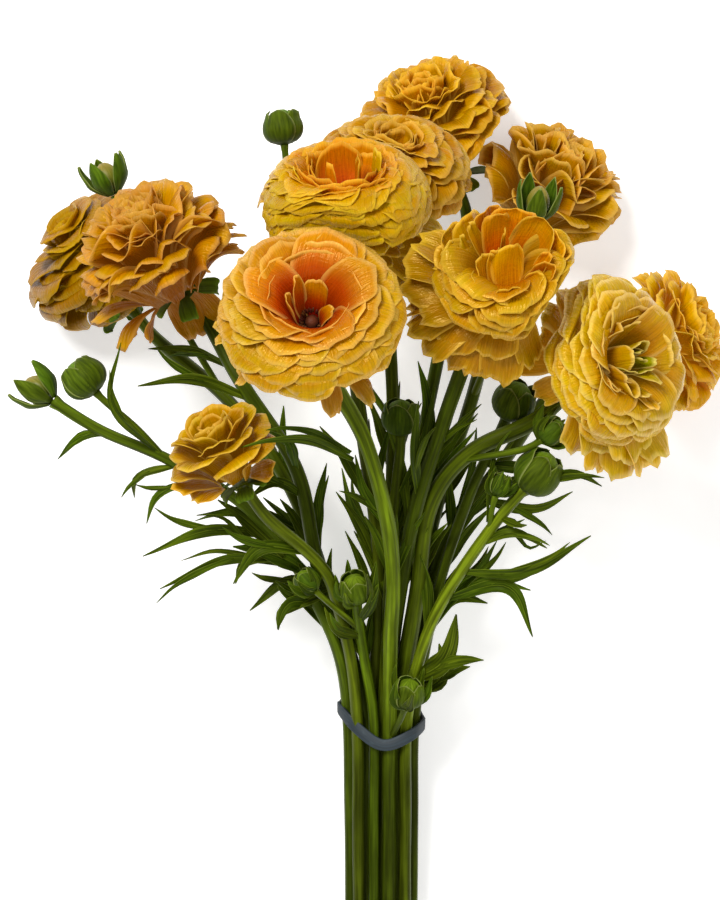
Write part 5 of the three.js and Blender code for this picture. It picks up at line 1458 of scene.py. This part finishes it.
# its section: shares of half its width aside, and of its thickness out from the stems
BAND_SECTION = ((-1, 0.1), (-0.9, 0), (0.9, 0), (1, 0.1), (1, 0.85), (0.86, 1), (-0.86, 1), (-1, 0.85))


def grow_band():
    """A flat ring with rounded edges, drawn tight over the stems."""
    spots, outs, _ = band_ring(BAND_POINTS)
    around = np.vstack([spots, spots[:1]])[:, [0, 2]]
    run = np.concatenate([[0], np.cumsum(np.linalg.norm(np.diff(around, axis=0), axis=1))])
    even = np.linspace(0, run[-1], BAND_POINTS + 1)[:-1]

    def evened(rows):
        return np.stack([np.interp(even, run, np.append(column, column[0])) for column in rows.T], axis=1)

    spots, outs = evened(spots), evened(outs)
    outs /= np.linalg.norm(outs, axis=1)[:, None]
    # over the top it hangs in a soft bow, and it sits a little higher on the left
    aside = (spots[:, 0] - BUNCH_X) / np.abs(spots[:, 0] - BUNCH_X).max()
    bow = (1 - np.abs(aside) ** 1.5) * np.clip((spots[:, 2] - BAND_Z) / 4, -1, 1)
    spots[:, 1] = BAND_Y + BAND_LIFT - BAND_SLOPE * BAND_BOW * bow - BAND_TILT * aside
    spots = spots + outs * BAND_SLACK
    for _ in range(BAND_SOFTENING):
        spots, outs = (0.25 * np.roll(rows, 1, axis=0) + 0.5 * rows + 0.25 * np.roll(rows, -1, axis=0)
                       for rows in (spots, outs))
    wide = np.cross(np.roll(spots, -1, axis=0) - np.roll(spots, 1, axis=0), outs)
    wide /= np.linalg.norm(wide, axis=1)[:, None]
    rings = np.stack([spots + wide * side * BAND_WIDTH / 2 + outs * out * BAND_THICKNESS
                      for side, out in BAND_SECTION], axis=1)
    count, sides = rings.shape[:2]
    faces = []
    for r in range(count):
        here, ahead = r * sides, (r + 1) % count * sides
        for c in range(sides):
            n = (c + 1) % sides
            faces.append((here + c, ahead + c, ahead + n, here + n))
    run = np.arange(count)[:, None] * 1.0
    across = np.array([side * BAND_WIDTH / 2 for side, _ in BAND_SECTION])[None, :]
    place = np.zeros((count, sides, 3))
    grain = np.stack(np.broadcast_arrays(across, run, 0.0), axis=-1)
    shape = Shape()
    shape.add(rings.reshape(-1, 3), faces, place.reshape(-1, 3), grain.reshape(-1, 3), 0.5)
    return shape


piece("tight_rubber_band", grow_band(), band_rubber(), ["rubber_band"])

# ---- table, light and camera -------------------------------------------------------

CAMERA_HEIGHT = 1400.0     # above the table, over the middle of the picture
VIEW_HEIGHT = 378.0        # height of the picture at the level of VIEW_LEVEL
VIEW_LEVEL = 80.0
SENSOR = 36.0
TABLE_SIZE = 6              # metres
LIT_POINT = (0, 0.02, 0.08)  # metres; what the lights look at


def pale_table():
    """Opal white acrylic lit from below: hardly any grain, and only faint shadows on it."""
    material, tree = new_material("white_table")
    where = add_node(tree, "TexCoord", out="Object")
    noise = add_node(tree, "TexNoise", {"Vector": where, "Scale": 60.0, "Detail": 3.0})
    colour = add_node(tree, "ValToRGB", {0: noise}, stops=((0.3, "#F1F0EE"), (0.7, "#F6F5F3")))
    bump = add_node(tree, "Bump", {"Height": noise, "Strength": 0.05, "Distance": 0.0005})
    roughness = add_node(tree, "MapRange", {0: noise, 1: 0.3, 2: 0.7, 3: 0.7, 4: 0.8}, **SOFT_STEP)
    finish_material(tree, colour, bump, roughness,
                    {"IOR": 1.45, "Emission Color": "#FFFFFF", "Emission Strength": 0.42})
    bpy.ops.mesh.primitive_plane_add(size=TABLE_SIZE)
    floor = bpy.context.object
    floor.name = "table"
    floor.data.materials.append(material)
    floor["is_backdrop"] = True


def soft_light(name, place, size, power, colour="#FFFFFF"):
    """A large soft box that looks at the bunch."""
    light = bpy.data.lights.new(name, "AREA")
    light.shape, light.size, light.energy = "DISK", size, power
    light.color = srgb(colour)[:3]
    lamp = bpy.data.objects.new(name, light)
    bpy.context.scene.collection.objects.link(lamp)
    lamp.location = place
    toward = np.array(LIT_POINT) - place
    lamp.rotation_mode = "QUATERNION"
    lamp.rotation_quaternion = Vector(toward).to_track_quat("-Z", "Y")


pale_table()
soft_light("key", np.array([-0.6, 0.8, 1.6]), 0.7, 33)
soft_light("fill", np.array([1.3, 0.1, 1.2]), 1.2, 8)
soft_light("front", np.array([0.1, -1.2, 1.3]), 1.2, 5)
world = bpy.data.worlds.new("studio")
world.use_nodes = True
world.node_tree.nodes["Background"].inputs[0].default_value = srgb("#FFFFFF")
world.node_tree.nodes["Background"].inputs[1].default_value = 0.36
bpy.context.scene.world = world
bpy.context.scene.view_settings.view_transform = "Standard"

lens = bpy.data.cameras.new("camera")
lens.sensor_fit = "AUTO"
lens.sensor_width = SENSOR
lens.lens = SENSOR * (CAMERA_HEIGHT - VIEW_LEVEL) / VIEW_HEIGHT
camera = bpy.data.objects.new("camera", lens)
camera.location = (SHIFT[0] * MM, SHIFT[1] * MM, CAMERA_HEIGHT * MM)
bpy.context.scene.collection.objects.link(camera)
bpy.context.scene.camera = camera

low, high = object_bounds()
